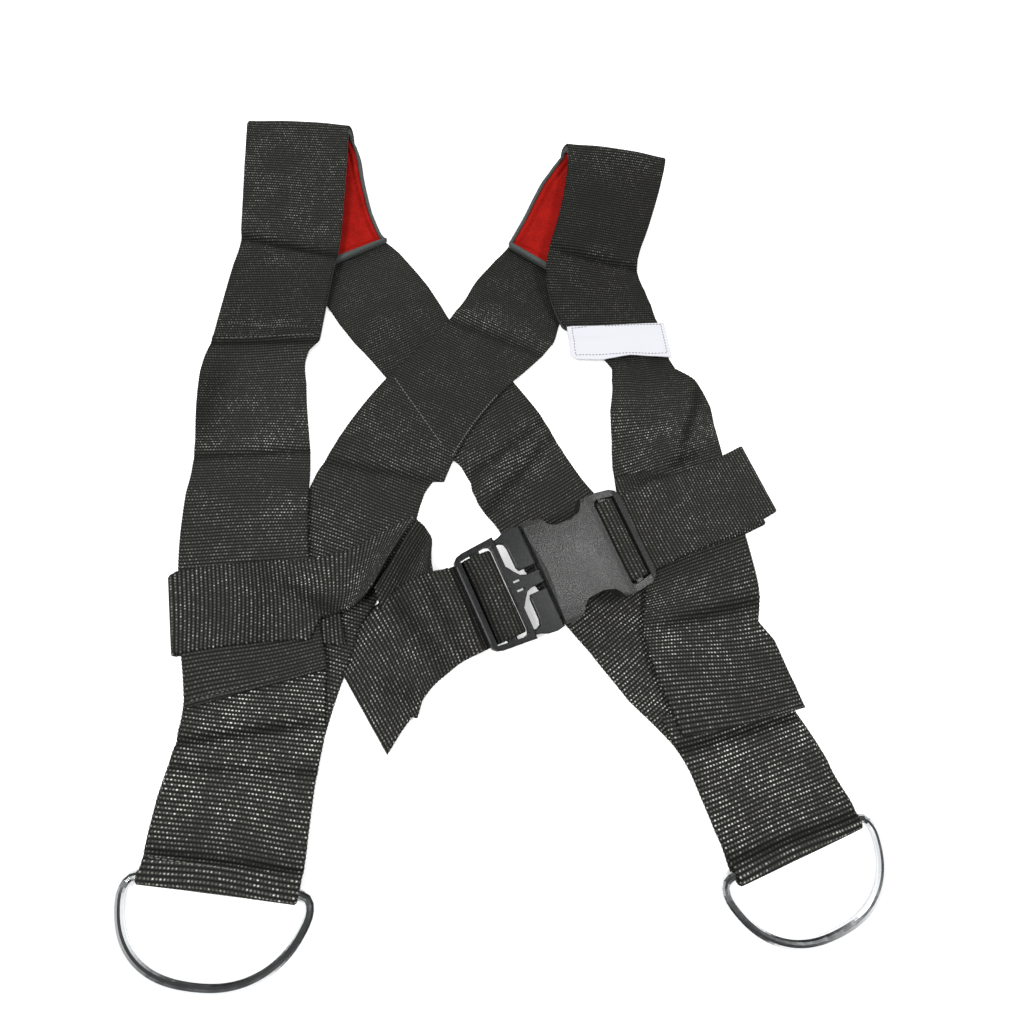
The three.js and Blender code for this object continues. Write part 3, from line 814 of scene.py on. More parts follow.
class Path:
    """A webbing's middle line, sampled at an even step, with its own axes at each sample.

    Args:
        stations: the places it passes.
        step: the distance between samples, in mm.
    """

    def __init__(self, stations: Stations, step: float) -> None:
        """Sample the line."""
        fine, places = curve_points(np.array(stations.at), CURVE_SAMPLES)
        run = run_along(fine)
        self.length = float(run[-1])
        count = max(2, round(self.length / step))
        self.run = np.linspace(0, self.length, count + 1)
        spot = np.interp(self.run, run, places)
        order = np.arange(len(stations.at))
        self.at = self.between(self.run, run, fine)
        self.side = normalised(self.between(spot, order, np.array(stations.side)))
        self.way = normalised(np.gradient(self.at, axis=0))
        self.normal = normalised(np.cross(self.side, self.way))
        self.share = np.interp(spot, order, np.array(stations.share))

    @staticmethod
    def between(wanted: np.ndarray, known: np.ndarray, vectors: np.ndarray) -> np.ndarray:
        """Give vectors at wanted places, between those that are known."""
        return np.stack([np.interp(wanted, known, vectors[:, k]) for k in range(3)], axis=-1)

    def point(self, along: float, across: float, lift: float) -> np.ndarray:
        """Give a place on the webbing.

        Args:
            along: how far along it, in mm.
            across: how far across it, in mm of its full width.
            lift: how far out of its middle, in mm.

        Returns:
            The place in the plan, in mm.
        """
        at, side, normal = (
            self.between(along, self.run, values) for values in (self.at, self.side, self.normal)
        )
        share = float(np.interp(along, self.run, self.share))
        return at + side * across * share + normal * lift


def to_metres(points: np.ndarray) -> np.ndarray:
    """Turn plan places in mm into the row frame in metres."""
    return (np.asarray(points) + PLAN_SHIFT) * MM


@dataclass
class Cloth:
    """What a woven mesh says of its yarn and its painted light, vertex by vertex.

    Attributes:
        weave: its place across and along the cloth, in mm.
        sheen: how strongly its painted glints show.
        shade: the share of its colour that painted shade leaves, at creases and along stretches.
    """

    weave: np.ndarray
    sheen: np.ndarray | None = None
    shade: np.ndarray | None = None

    def store(self, mesh: bpy.types.Mesh) -> None:
        """Store it on a mesh.

        Args:
            mesh: the mesh, with as many vertices.
        """
        places = np.zeros((len(self.weave), 3), np.float32)
        places[:, :2] = self.weave
        layer = mesh.attributes.new("weave", "FLOAT_VECTOR", "POINT")
        layer.data.foreach_set("vector", places.ravel())
        for name in ("sheen", "shade"):
            values = getattr(self, name)
            if values is not None:
                layer = mesh.attributes.new(name, "FLOAT", "POINT")
                layer.data.foreach_set("value", np.asarray(values, np.float32))


def mesh_object(
    name: str,
    points: np.ndarray,
    faces: Sequence[Sequence[int]],
    material: bpy.types.Material,
    cloth: Cloth | None = None,
) -> bpy.types.Object:
    """Make a smooth object from points in the plan.

    Args:
        name: the object's name.
        points: its vertices, in mm.
        faces: its faces.
        material: its material.
        cloth: what it says of its yarn.

    Returns:
        The object, in the scene.
    """
    mesh = bpy.data.meshes.new(name)
    mesh.from_pydata([tuple(p) for p in to_metres(points)], [], [tuple(f) for f in faces])
    mesh.materials.append(material)
    if cloth is not None:
        cloth.store(mesh)
    mesh.polygons.foreach_set("use_smooth", [True] * len(mesh.polygons))
    mesh.update()
    made = bpy.data.objects.new(name, mesh)
    bpy.context.scene.collection.objects.link(made)
    log.info("%s: %d faces", name, len(mesh.polygons))
    return made


def recalculate(piece: bpy.types.Object) -> None:
    """Turn all faces of a closed piece outward.

    Args:
        piece: the piece.
    """
    mesh = bmesh.new()
    mesh.from_mesh(piece.data)
    bmesh.ops.recalc_face_normals(mesh, faces=mesh.faces)
    mesh.to_mesh(piece.data)
    mesh.free()


def dress(
    piece: bpy.types.Object, part: Part, slot: Slot, nodes: Sequence[str] = ()
) -> bpy.types.Object:
    """Make a piece ride on its body, and hide the CAD nodes that it stands for.

    Args:
        piece: the piece.
        part: the body that it rides on.
        slot: the record's material slot; not used.
        nodes: the CAD nodes that it stands for.

    Returns:
        The piece.
    """
    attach(piece, part.value)
    if nodes:
        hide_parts(*nodes)
    return piece


def tube_faces(count: int, ring: int, closed: bool = False) -> list[tuple[int, ...]]:
    """Give the side faces of a tube.

    Args:
        count: how many rings of points it has.
        ring: how many points are in a ring.
        closed: whether its last ring joins its first.

    Returns:
        Four-sided faces.
    """
    faces = []
    for i in range(count if closed else count - 1):
        a, b = i * ring, (i + 1) % count * ring
        for j in range(ring):
            k = (j + 1) % ring
            faces.append((a + j, a + k, b + k, b + j))
    return faces


@dataclass
class Webbing:
    """A length of webbing that follows stations.

    Attributes:
        name: the piece's name.
        stations: where it runs.
        width: its full width, in mm.
        nodes: the CAD nodes that it stands for.
        edges: where its edges wander.
        creases: its soft ridges and dents.
        glints: pairs of distance along and strength of its painted glints.
        painted_shading: pairs of distance along and the painted light and shade on its yarn, as a
            share of its colour.
        slant: how far its first end is cut back at its left and right edge, in mm.
        slant_reach: how far along that slant is felt, in mm.
        columns: how many faces lie across it.
        thickness: its thickness, in mm.
        edge_round: how far from its edge its faces close in, in mm.
        relief: the height of its yarn's crowns, in mm.
        bead: how far the crowns stand out of its edge, in mm.
        pleats: how many folds lie across it where its share of width is less than one.
        pleat_depth: how deep they would be at no width, in mm.
    """

    name: str
    stations: Stations
    width: float
    nodes: tuple[str, ...]
    edges: tuple[Edge, ...] = (Edge(0, 0, 0),)
    creases: tuple[Crease, ...] = ()
    glints: tuple[tuple[float, float], ...] = ((0.0, 0.6),)
    painted_shading: tuple[tuple[float, float], ...] = ((0.0, 1.0),)
    slant: tuple[float, float] = (0.0, 0.0)
    slant_reach: float = 70.0
    columns: int = 36
    thickness: float = WEB_THICKNESS - 0.1
    edge_round: float = 0.8
    relief: float = 0.16
    bead: float = 0.35
    pleats: float = 2.5
    pleat_depth: float = 3.2

    def __post_init__(self) -> None:
        """Sample the path."""
        self.path = Path(self.stations, ROW_PITCH / STEPS_A_ROW)

    def lift_at(self, along: np.ndarray, across: np.ndarray) -> np.ndarray:
        """Give the creases' lift.

        Args:
            along: distances along the webbing, in mm.
            across: distances across it, in mm.

        Returns:
            The lift at each place, in mm.
        """
        total = np.zeros(np.broadcast(along, across).shape)
        for crease in self.creases:
            total = total + crease.height * crease.shape(along, across)
        return total

    def painted_light_at(self, along: np.ndarray, across: np.ndarray) -> tuple[np.ndarray, np.ndarray]:
        """Give the painted light and shade on its yarn.

        Args:
            along: distances along the webbing, in mm.
            across: distances across it, in mm.

        Returns:
            How strongly its painted glints show at each place, and the share of its colour that painted
            shade leaves.
        """
        sheen = np.interp(along, *zip(*self.glints))
        shade = np.interp(along, *zip(*self.painted_shading))
        # Each crease dims the painted glints and darkens the colour with painted shade.
        for crease in self.creases:
            shape = crease.shape(along, across)
            sheen = sheen * (1 - crease.painted_dimming * shape)
            shade = shade * (1 - CREASE_SHADE * max(crease.painted_dimming, 0.0) * shape)
        return sheen, shade

    def spread_at(self, along: np.ndarray, side: float) -> np.ndarray:
        """Give how much wider than even it is.

        Args:
            along: distances along the webbing, in mm.
            side: less than zero for its left edge, otherwise its right one.

        Returns:
            The spread at each place, in mm.
        """
        values = [e.left if side < 0 else e.right for e in self.edges]
        return np.interp(along, [e.along for e in self.edges], values)

    def pleat(self, share: np.ndarray, across: np.ndarray) -> np.ndarray:
        """Give the pleats' lift.

        Args:
            share: the share of its width that shows.
            across: distances across it, in mm.

        Returns:
            The lift at each place, in mm.
        """
        depth = self.pleat_depth * np.sqrt(np.clip(1 - share, 0, 1))
        wave = 0.5 - 0.5 * np.cos(2 * np.pi * self.pleats * (across / self.width + 0.5))
        return depth * wave

    def point(self, along: float, across: float, lift: float) -> np.ndarray:
        """Give a place on the webbing, creases and pleats included.

        Args:
            along: how far along it, in mm.
            across: how far across it, in mm of its full width.
            lift: how far out of its middle, in mm.

        Returns:
            The place in the plan, in mm.
        """
        share = np.interp(along, self.path.run, self.path.share)
        spot = np.array(across)
        extra = self.lift_at(np.array(along), spot) + self.pleat(share, spot)
        return self.path.point(along, across, lift + float(extra))

    def end_faces(self, base: int, top: int) -> list[tuple[int, ...]]:
        """Give the faces that close the webbing's first end.

        Args:
            base: the number of the end's first point.
            top: how many points lie across its upper side.

        Returns:
            The faces, in the first end's turn; the last end's are the other way round.
        """
        low = list(range(base + top + 1, base + 2 * top + 1))[::-1]
        high = list(range(base, base + top))
        faces = [(low[j], low[j + 1], high[j + 1], high[j]) for j in range(top - 1)]
        return [*faces, (base + top, high[-1], low[-1]), (base + 2 * top + 1, low[0], high[0])]

    def build(self, material: bpy.types.Material) -> bpy.types.Object:
        """Build the piece.

        Args:
            material: the webbing's material.

        Returns:
            The piece.
        """
        path, half = self.path, self.width / 2
        inner = np.linspace(-1, 1, self.columns + 1) * (half - self.edge_round) / half
        top = len(inner)
        ring_across = [*inner, 1.0, *inner[::-1], -1.0]
        ring_lift = [*[1.0] * top, 0.0, *[-1.0] * top, 0.0]
        grid, weave, sheen, shade = [], [], [], []
        for share_across, side_lift in zip(ring_across, ring_lift):
            trim = self.spread_at(path.run, share_across)
            across = share_across * (half + trim * share_across**2)
            drift = waver(path.run, across)
            crown = np.abs(np.sin(np.pi * (path.run + drift) / ROW_PITCH))
            edge = abs(share_across) ** BEAD_POWER * self.bead * crown * np.sign(share_across)
            lift = side_lift * (self.thickness / 2 + self.relief * (crown - 1))
            lift = lift + self.lift_at(path.run, across) + self.pleat(path.share, across)
            back = self.slant[0] * (1 - share_across) / 2 + self.slant[1] * (1 + share_across) / 2
            skew = back * np.clip(1 - path.run / self.slant_reach, 0, 1) ** SLANT_POWER
            sideways = path.side * (across * path.share + edge)[:, None]
            upward = path.normal * lift[:, None]
            grid.append(path.at + sideways + upward + path.way * skew[:, None])
            weave.append(np.stack([across, path.run + drift], axis=1))
            for layer, values in zip((sheen, shade), self.painted_light_at(path.run, across)):
                layer.append(values)
        count, ring = len(path.at), len(grid)
        faces = tube_faces(count, ring) + self.end_faces(0, top)
        faces += [face[::-1] for face in self.end_faces((count - 1) * ring, top)]
        cloth = Cloth(
            np.stack(weave, axis=1).reshape(-1, 2),
            np.stack(sheen, axis=1).ravel(),
            np.stack(shade, axis=1).ravel(),
        )
        points = np.stack(grid, axis=1).reshape(-1, 3)
        log.info("%s: %.0f mm of webbing", self.name, path.length)
        return mesh_object(self.name, points, faces, material, cloth)


# A stitch's sections: the share of its length, its girth and its rise, in shares of its radius.
STITCH_SECTIONS = (
    (-0.5, 0.25, -0.2),
    (-0.3, 1.0, 0.35),
    (0.0, 1.0, 0.6),
    (0.3, 1.0, 0.35),
    (0.5, 0.25, -0.2),
)
STITCH_SIDES = 6


@dataclass(frozen=True)
class Seam:
    """A row of stitches on a webbing; two rows are thread dashes that stand for painted highlights.

    Attributes:
        name: the piece's name.
        line: places on the webbing that the row passes, as distance along and across, in mm.
        pitch: the distance from stitch to stitch, in mm.
        length: a stitch's length, in mm.
        lift: how far the stitches lie out of the webbing's middle, in mm.
        upright: whether each stitch lies at right angles to the row.
        face: 1 on the side that the webbing's lift points to, and -1 on the other.
        pale: whether its thread is the pale one.
        radius: half the thread's thickness, in mm.
        look_ahead: how far along the row a stitch's direction is read, in mm.
    """

    name: str
    line: tuple[tuple[float, float], ...]
    pitch: float = 3.2
    length: float = 2.2
    lift: float = WEB_THICKNESS / 2
    upright: bool = False
    face: int = 1
    pale: bool = False
    radius: float = 0.32
    look_ahead: float = 0.1

    def place(self, distance: float) -> np.ndarray:
        """Give the place on the webbing at a distance along the row, in mm."""
        line = np.array(self.line, float)
        return np.array([np.interp(distance, run_along(line), line[:, k]) for k in range(2)])

    def stitch(self, webbing: Webbing, middle: np.ndarray, ahead: np.ndarray) -> list[np.ndarray]:
        """Give one stitch's points.

        Args:
            webbing: what it is sewn to.
            middle: its place on the webbing.
            ahead: its direction there.

        Returns:
            Its points, section by section, in the plan, in mm.
        """
        points = []
        spread = np.array([-ahead[1], ahead[0]])
        for along_share, girth, rise in STITCH_SECTIONS:
            centre = middle + ahead * along_share * self.length
            reach = self.radius * girth
            for i in range(STITCH_SIDES):
                angle = math.tau * i / STITCH_SIDES
                spot = centre + spread * math.cos(angle) * reach
                up = self.lift + rise * self.radius + math.sin(angle) * reach
                points.append(webbing.point(spot[0], spot[1], up * self.face))
        return points

    def build(self, webbing: Webbing, material: bpy.types.Material) -> bpy.types.Object:
        """Build the row of stitches.

        Args:
            webbing: what it is sewn to.
            material: the thread's material.

        Returns:
            The piece.
        """
        total = float(run_along(np.array(self.line, float))[-1])
        count = max(1, int(total / self.pitch))
        sections = len(STITCH_SECTIONS)
        sides = tube_faces(sections, STITCH_SIDES)
        first = tuple(range(STITCH_SIDES))[::-1]
        last = tuple(range((sections - 1) * STITCH_SIDES, sections * STITCH_SIDES))
        points, faces = [], []
        for number in range(count):
            spot = (number + 0.5) * total / count
            middle = self.place(spot)
            ahead = self.place(spot + self.look_ahead) - middle
            ahead = ahead / np.linalg.norm(ahead)
            if self.upright:
                ahead = np.array([-ahead[1], ahead[0]])
            base = len(points)
            points += self.stitch(webbing, middle, ahead)
            faces += [tuple(base + k for k in face) for face in (*sides, first, last)]
        piece = mesh_object(self.name, np.array(points), faces, material)
        recalculate(piece)
        return dress(piece, Part.HARNESS, Slot.WEBBING)


# Where each webbing runs

# A row is x, y and height in mm and the direction across in degrees. How far that climbs and the
# share of the width that shows follow where they aren't 0 and 1.
LEFT_PAD_BACK: tuple[Row, ...] = (
    (-94, 459, 1.15, 29),
    (-99.7, 466.5, 2.3, 26),
    (-110, 491.5, 9.6, 18),
    (-118.8, 522.5, 19.3, 9),
    (-125, 551, 29.2, 1),
)
LEFT_PAD_FRONT: tuple[Row, ...] = (
    (-132.2, 532, 40.6, -2.5),
    (-134.4, 495, 28.2, -2),
    (-136.3, 468, 19, -1),
    (-137.6, 458, 16, -1),
    (-141.2, 440, 13.2, 0),
    (-145.3, 412, 9.4, 1),
    (-148.4, 390, 7, 1.5),
    (-151, 368, 6, 2),
)
RIGHT_PAD_BACK: tuple[Row, ...] = (
    (69.5, 446.6, 1.15, -43),
    (74.4, 453.7, 2.6, -41),
    (88, 474, 9.6, -34),
    (102, 497.2, 18, -25),
    (117.5, 520.6, 27.5, -16),
)
RIGHT_PAD_FRONT: tuple[Row, ...] = (
    (127.5, 505, 41, -12.5),
    (118.5, 474, 30.5, -12.5),
    (110, 450, 22, -12),
    (105.5, 435, 17.2, -10),
    (104.3, 420, 14, -7),
    (106.5, 402, 10.6, -3),
    (110, 389, 8.7, 0),
    (113.5, 379, 7.4, 1),
)
LEFT_FRONT: tuple[Row, ...] = (
    (-151, 368, 6, 2),
    (-154.8, 358, 3.9, 1.5),
    (-157.4, 347, 1.6, 1),
    (-157.5, 334, 1, 0),
    (-155.7, 308, 1, -1),
    (-152.3, 278, 1, -2),
    (-150, 254, 2, -2),
    (-148.6, 232, 5.6, -2),
    (-147, 200, 5.6, 0),
    (-143, 170, 5.6, 2),
    (-136.8, 140, 5.6, 7),
    (-132, 118, 5.6, 10),
    (-130, 107, 5.6, 13),
)
RIGHT_FRONT: tuple[Row, ...] = (
    (113.5, 379, 7.4, 1),
    (117.5, 370, 5.2, -2, 0, 0.96),
    (123, 360, 2.4, -4, 0, 0.84),
    (129.5, 349, 1.1, -5, 0, 0.68),
    (134, 338, 1, -4, 0, 0.64),
    (139.5, 327, 1, -2, 0, 0.84),
    (140.3, 300, 1, 2, 0, 0.97),
    (139, 277, 1.8, 12),
    (138, 256, 5.6, 18),
    (138, 225, 5.6, 20),
    (138, 190, 5.6, 20),
    (137, 160, 5.6, 14),
    (134, 135, 5.6, 4),
    (138, 110, 5.6, -5),
    (146, 74, 5.6, -10.5),
)
LEFT_BACK: tuple[Row, ...] = (
    (-94, 459, 1.15, 29),
    (-72.9, 426.5, 1, 30),
    (-42.8, 375.3, 1, 31),
    (-11.1, 326.2, 1, 30),
    (12.3, 285.5, 1, 30),
    (28.5, 253.1, 1, 31),
    (46.5, 215.2, 1, 32),
    (82, 151, 1, 33),
    (110, 111, 1, 35),
    (127, 87, 1, 32),
)
RIGHT_BACK: tuple[Row, ...] = (
    (69.5, 446.6, 1.15, -43),
    (55, 427.8, 1, -40),
    (42.2, 411.1, 1.2, -36),
    (31.6, 388.7, 3.3, -33),
    (8, 355.8, 3.3, -32),
    (-18, 325.6, 3.3, -31),
    (-39, 296, 3.3, -30),
    (-57, 264.5, 3.3, -29),
    (-69.6, 242.3, 1.2, -26),
    (-77, 223.2, 1, -24),
    (-99.4, 173.8, 1, -21),
    (-119.8, 121.5, 1, -17),
    (-131.6, 77, 1, -14),
)
LEFT_LOOP: tuple[Row, ...] = (
    (-131.6, 77, 1, -14),
    (-134.6, 57.8, 1, -12.5),
    (-136.8, 32.4, 1, -11.2),
    (-137.8, 15.2, 1, -11.2),
)
LEFT_RETURN: tuple[Row, ...] = (
    (-137.2, 18, 7.6, -11.2),
    (-136.2, 30.2, 3.6, -11.2),
    (-134.8, 60.4, 3.3, -10),
    (-132, 90, 3.3, -10),
    (-131, 113, 3.3, -10),
    (-131, 126, 2.6, -10),
)
RIGHT_LOOP: tuple[Row, ...] = (
    (127, 87, 1, 32),
    (139, 66, 1, 24),
    (149, 37, 1, 17),
    (153.1, 8.6, 1, 16.3),
)
RIGHT_RETURN: tuple[Row, ...] = (
    (152, 13, 7.6, 16.3),
    (148.5, 26, 3.6, 16.3),
    (141, 55, 3.3, 15),
    (133, 84, 3.3, 11),
)
BELT_LEFT_UNDER: tuple[Row, ...] = (
    (-88, 156, 3.3, 100),
    (-120, 158.5, 3.3, 97),
    (-150, 158, 3.3, 98),
    (-181.5, 154.5, 3.3, 101),
)
BELT_LEFT_OVER: tuple[Row, ...] = (
    (-181.5, 154.5, 7.9, 101),
    (-150, 158, 7.9, 97),
    (-120, 159, 7.9, 98),
    (-100, 159, 8.3, 98),
    (-84, 163, 10.4, 88),
    (-69, 173, 14.6, 74),
    (-59, 181, 17.2, 64),
    (-55, 183.5, 18, 61),
)
BELT_LEFT_RUN: tuple[Row, ...] = (
    (-53.2, 182.2, 16.4, 61),
    (-50, 178.6, 12, 60),
    (-46, 172, 5.6, 63),
    (-39.5, 162, 4.8, 75, 2),
    (-31, 150, 7, 93, 8),
    (-23.5, 140.2, 11.8, 108, 14),
)
BELT_LEFT_TAIL: tuple[Row, ...] = (
    (-27, 136.5, 15.6, 112, 13),
    (-44, 125, 7.6, 113, 4),
    (-58, 109, 4.6, 118),
    (-71.5, 89.5, 3.3, 119),
)
BELT_RIGHT_UNDER: tuple[Row, ...] = (
    (100.5, 188.1, 3.3, 112.5),
    (125, 198.3, 3.3, 112.5),
    (150, 208.6, 3.3, 111),
    (182.5, 222, 3.3, 103),
)
BELT_RIGHT_OVER: tuple[Row, ...] = (
    (182.5, 222, 7.9, 103),
    (168, 216, 9.4, 107, 3),
    (148, 208, 11.4, 111, 7),
    (124, 199.6, 14.3, 112, 10),
)
BELT_RIGHT_TAIL: tuple[Row, ...] = (
    (121, 198, 19.2, 112, 12),
    (150, 209.5, 14.6, 110, 8.5),
    (175, 220.5, 13.4, 107.5, 7),
    (192, 229, 13, 106, 6.5),
)
LABEL: tuple[Row, ...] = (
    (77.5, 361.5, 7.7, 90, 7),
    (98, 362.4, 7.7, 91, 7),
    (118, 363.3, 7.7, 91, 7),
    (138, 363.8, 7.7, 91, 7),
    (156.5, 363.8, 7.7, 92, 7),
)


@dataclass(frozen=True)
class BuckleFrame:
    """The buckle's own axes: U from the plug to the socket, V across, W out of its face.

    Attributes:
        origin: the middle of the socket's mouth, in the plan, in mm.
        yaw: how far U turns from +X, in degrees.
        tilt: how far the face leans, in degrees.
    """

    origin: tuple[float, float, float] = (33.5, 160.3, 21.6)
    yaw: float = 22.5
    tilt: float = 17.0

    def axes(self) -> tuple[np.ndarray, np.ndarray, np.ndarray]:
        """Give its axes.

        Returns:
            U, V and W as unit vectors.
        """
        c, s = math.cos(math.radians(self.yaw)), math.sin(math.radians(self.yaw))
        ct, st = math.cos(math.radians(self.tilt)), math.sin(math.radians(self.tilt))
        return np.array([c, s, 0.0]), np.array([-s * ct, c * ct, st]), np.array([s * st, -c * st, ct])

    def place(self, along: float, out: float) -> np.ndarray:
        """Give the plan's place for one on the buckle's middle, along U and W, in mm."""
        u, _, w = self.axes()
        return np.array(self.origin) + along * u + out * w


BUCKLE = BuckleFrame()

# The web over the socket's middle bar, along the buckle and out of its face, in mm.
WRAP = (
    (68.2, -5.9),
    (62, -5.9),
    (56.5, -5.9),
    (53.1, -5.4),
    (51, -3.8),
    (50, -1.4),
    (50.2, 0.9),
    (51.4, 2.5),
    (53.4, 3.5),
    (56.1, 3.9),
    (58.8, 3.6),
    (60.8, 2.6),
    (61.9, 0.9),
    (62, -0.9),
    (62.2, -2.2),
    (62.9, -3.1),
    (64.3, -3.35),
    (66, -3.3),
    (68.2, -3.3),
)


def wrap_rows(on_plug: bool, leads: tuple[float, float]) -> Stations:
    """Give the web over a buckle bar, with a straight lead at either end.

    Args:
        on_plug: whether the bar is the plug's, whose slot is longer.
        leads: how far it runs straight before and after, in mm; zero for none.

    Returns:
        The stations, from under the bars to the free end's side.
    """
    rows = [(u - SOCKET_BAR, w) for u, w in WRAP]
    if on_plug:
        rows = [(PLUG_SLOT_SHARE * u, w) for u, w in rows]
    if leads[0]:
        rows = [(rows[0][0] + leads[0], rows[0][1]), *rows]
    if leads[1]:
        rows = [*rows, (rows[-1][0] + leads[1], rows[-1][1])]
    side = BUCKLE.axes()[1]
    made = Stations()
    for u, w in rows:
        made.add(BUCKLE.place(PLUG_BAR - u if on_plug else SOCKET_BAR + u, w), side)
    return made


def joined(*parts: Stations, least: float = 0.5) -> Stations:
    """Join stations, leaving out a place that repeats the one before it.

    Args:
        *parts: the stations, in order.
        least: how far apart two places have to be, in mm.

    Returns:
        All of them as one.
    """
    made = Stations()
    for part in parts:
        for at, side, share in zip(part.at, part.side, part.share):
            if made.at and np.linalg.norm(made.at[-1] - at) < least:
                continue
            made.add(at, side, share)
    return made


@dataclass(frozen=True)
class PadFold:
    """A shoulder pad's fold.

    Attributes:
        centre: its centre in the plan, in mm.
        turn: the direction across the webbing there, in degrees.
        span: its first and last angle from level, in degrees.
        steps: how many steps it takes.
    """

    centre: tuple[float, float, float]
    turn: float
    span: tuple[float, float] = (-72, 108)
    steps: int = 12

    def stations(self) -> Stations:
        """Give the fold, from the back layer to the front one."""
        heading = self.turn + 90
        return Stations().bend(self.centre, heading, self.turn, FOLD_RADIUS, self.span, self.steps)


@dataclass(frozen=True)
class RingBar:
    """A D-ring's straight bar, and the webbing's half turn round it.

    Attributes:
        centre: its middle in the plan, in mm.
        turn: its direction, in degrees.
        steps: how many steps the half turn takes.
    """

    centre: tuple[float, float, float]
    turn: float
    steps: int = 10

    def fold(self) -> Stations:
        """Give the webbing's half turn, from below to above."""
        radius = (WIRE + WEB_THICKNESS) / 2 + PIECE_GAP
        return Stations().bend(self.centre, self.turn - 90, self.turn, radius, (-90, 90), self.steps)


LEFT_FOLD = PadFold((-131, 566, 42.3), -2.8)
RIGHT_FOLD = PadFold((135, 535.5, 42.3), -12.4)
LEFT_BAR = RingBar((-138.6, 11.2, 4.8), -11.2)
RIGHT_BAR = RingBar((154.2, 4.6, 4.8), 16.3)


def long_webbing(
    front: Sequence[Row],
    pad_front: Sequence[Row],
    fold: PadFold,
    pad_back: Sequence[Row],
    back: Sequence[Row],
    loop: Sequence[Row],
    bar: RingBar,
    back_again: Sequence[Row],
) -> Stations:
    """Join one long webbing.

    Args:
        front: the front strap, from its pad down to its end.
        pad_front: the pad's front layer, from the fold down.
        fold: the pad's fold.
        pad_back: the pad's back layer, from its end up to the fold.
        back: from the pad down over the crossing.
        loop: from there under the ring's bar.
        bar: the ring's bar.
        back_again: from the bar to the webbing's end.

    Returns:
        The stations, from its front end over the shoulder to the ring and back.
    """
    return joined(
        along_rows(front).turned(),
        along_rows(pad_front).turned(),
        fold.stations().turned(),
        along_rows(pad_back).turned(),
        along_rows(back),
        along_rows(loop),
        bar.fold(),
        along_rows(back_again),
    )


def belt_fold(under: Sequence[Row], over: Sequence[Row], steps: int = 8) -> Stations:
    """Give a belt's half turn round a front strap's edge.

    Args:
        under: the rows of the layer under the strap.
        over: the rows of the layer over it.
        steps: how many steps the half turn takes.

    Returns:
        The stations, from the lower layer to the upper one.
    """
    x, y, height, turn = under[-1]
    radius = (over[0][2] - height) / 2
    heading = turn + (90 if under[0][0] > x else -90)
    return Stations().bend((x, y, height + radius), heading, turn, radius, (-90, 90), steps)


# The long webbings' forms and painted light, by the distance from each one's front end, in mm
LEFT_EDGES = edges(
    (130, 1, 0), (150, 0, 0.4), (168, -0.8, 0.8), (225, -0.6, 0), (245, -0.8, -2.2),
    (255, -0.5, -2), (262, 0, 1.5), (312, 0.8, 0.4), (360, 0.5, 0), (384, 2, 0.6), (432, 3.6, 1.4),
    (470, 4, 2.4), (486, 3.2, 4.5), (500, 2.5, 5.5), (528, 1.5, 2.8), (576, 0, 0.4), (600, 0, 0.4),
    (624, 0, 2.8), (672, 2.6, 1.4), (696, 2, -1.2), (708, 0.6, -3.2), (720, 0, -4.5),
    (740, 0, -2), (760, 0, 0), (820, 0, 0), (834, -3.5, -0.5), (848, -3, -2),
    (854, -0.5, -3), (864, 0.8, -3.5), (888, -1.8, -3.6), (930, -0.5, -1), (984, -2, 0),
    (1020, 0.4, 0), (1056, -2, 0), (1080, -1.5, 0.5), (1104, 0, 2), (1124, -1.2, 1.4),
    (1150, -1, 1.4), (1166, -1.2, 3), (1176, -2, 3.5), (1200, -2.5, 1), (1228, 0, 0),
)
RIGHT_EDGES = edges(
    (0, 7, 0), (37, 5.5, 0.4), (44, 4.4, 0.2), (50, 3.2, -2.6), (55, 2.4, -5), (62, 1.2, -1.5),
    (68, 0.6, 1), (74, 0, 1.2), (96, 0, 1), (120, 9, 1), (186, 8, 1), (207, 3.5, 1), (230, 1.5, 1),
    (250, 0, 0.6), (288, 0, 0), (320, 0, 1), (336, 0, 3.8), (352, 0, 3), (366, 0, -0.5),
    (384, 0, -3.5), (396, 0, -3.2), (420, 0, -1.2), (445, 0.5, 1), (470, 2, 3), (484, 5, 3.5),
    (496, 9, 3), (508, 9.5, 2), (528, 5.5, 2), (576, 3.8, 1), (640, 3.6, 0), (672, 1.5, 2),
    (696, 0.8, 4.2), (720, 0, 2), (744, 0, -1), (800, 0.8, 0), (836, 1.2, 1.8), (850, 1, 3.6),
    (853, 0.6, -3.4), (864, 0, -3.4), (888, 0, -1.2), (1030, 0, -1), (1056, 1.5, -1.2), (1080, 3.5, -0.5),
    (1104, 4, -1.2), (1128, 1.2, 0.6), (1152, 2.4, 0), (1176, 0.5, 0.8), (1200, -0.5, 2), (1228, 2, 0),
)
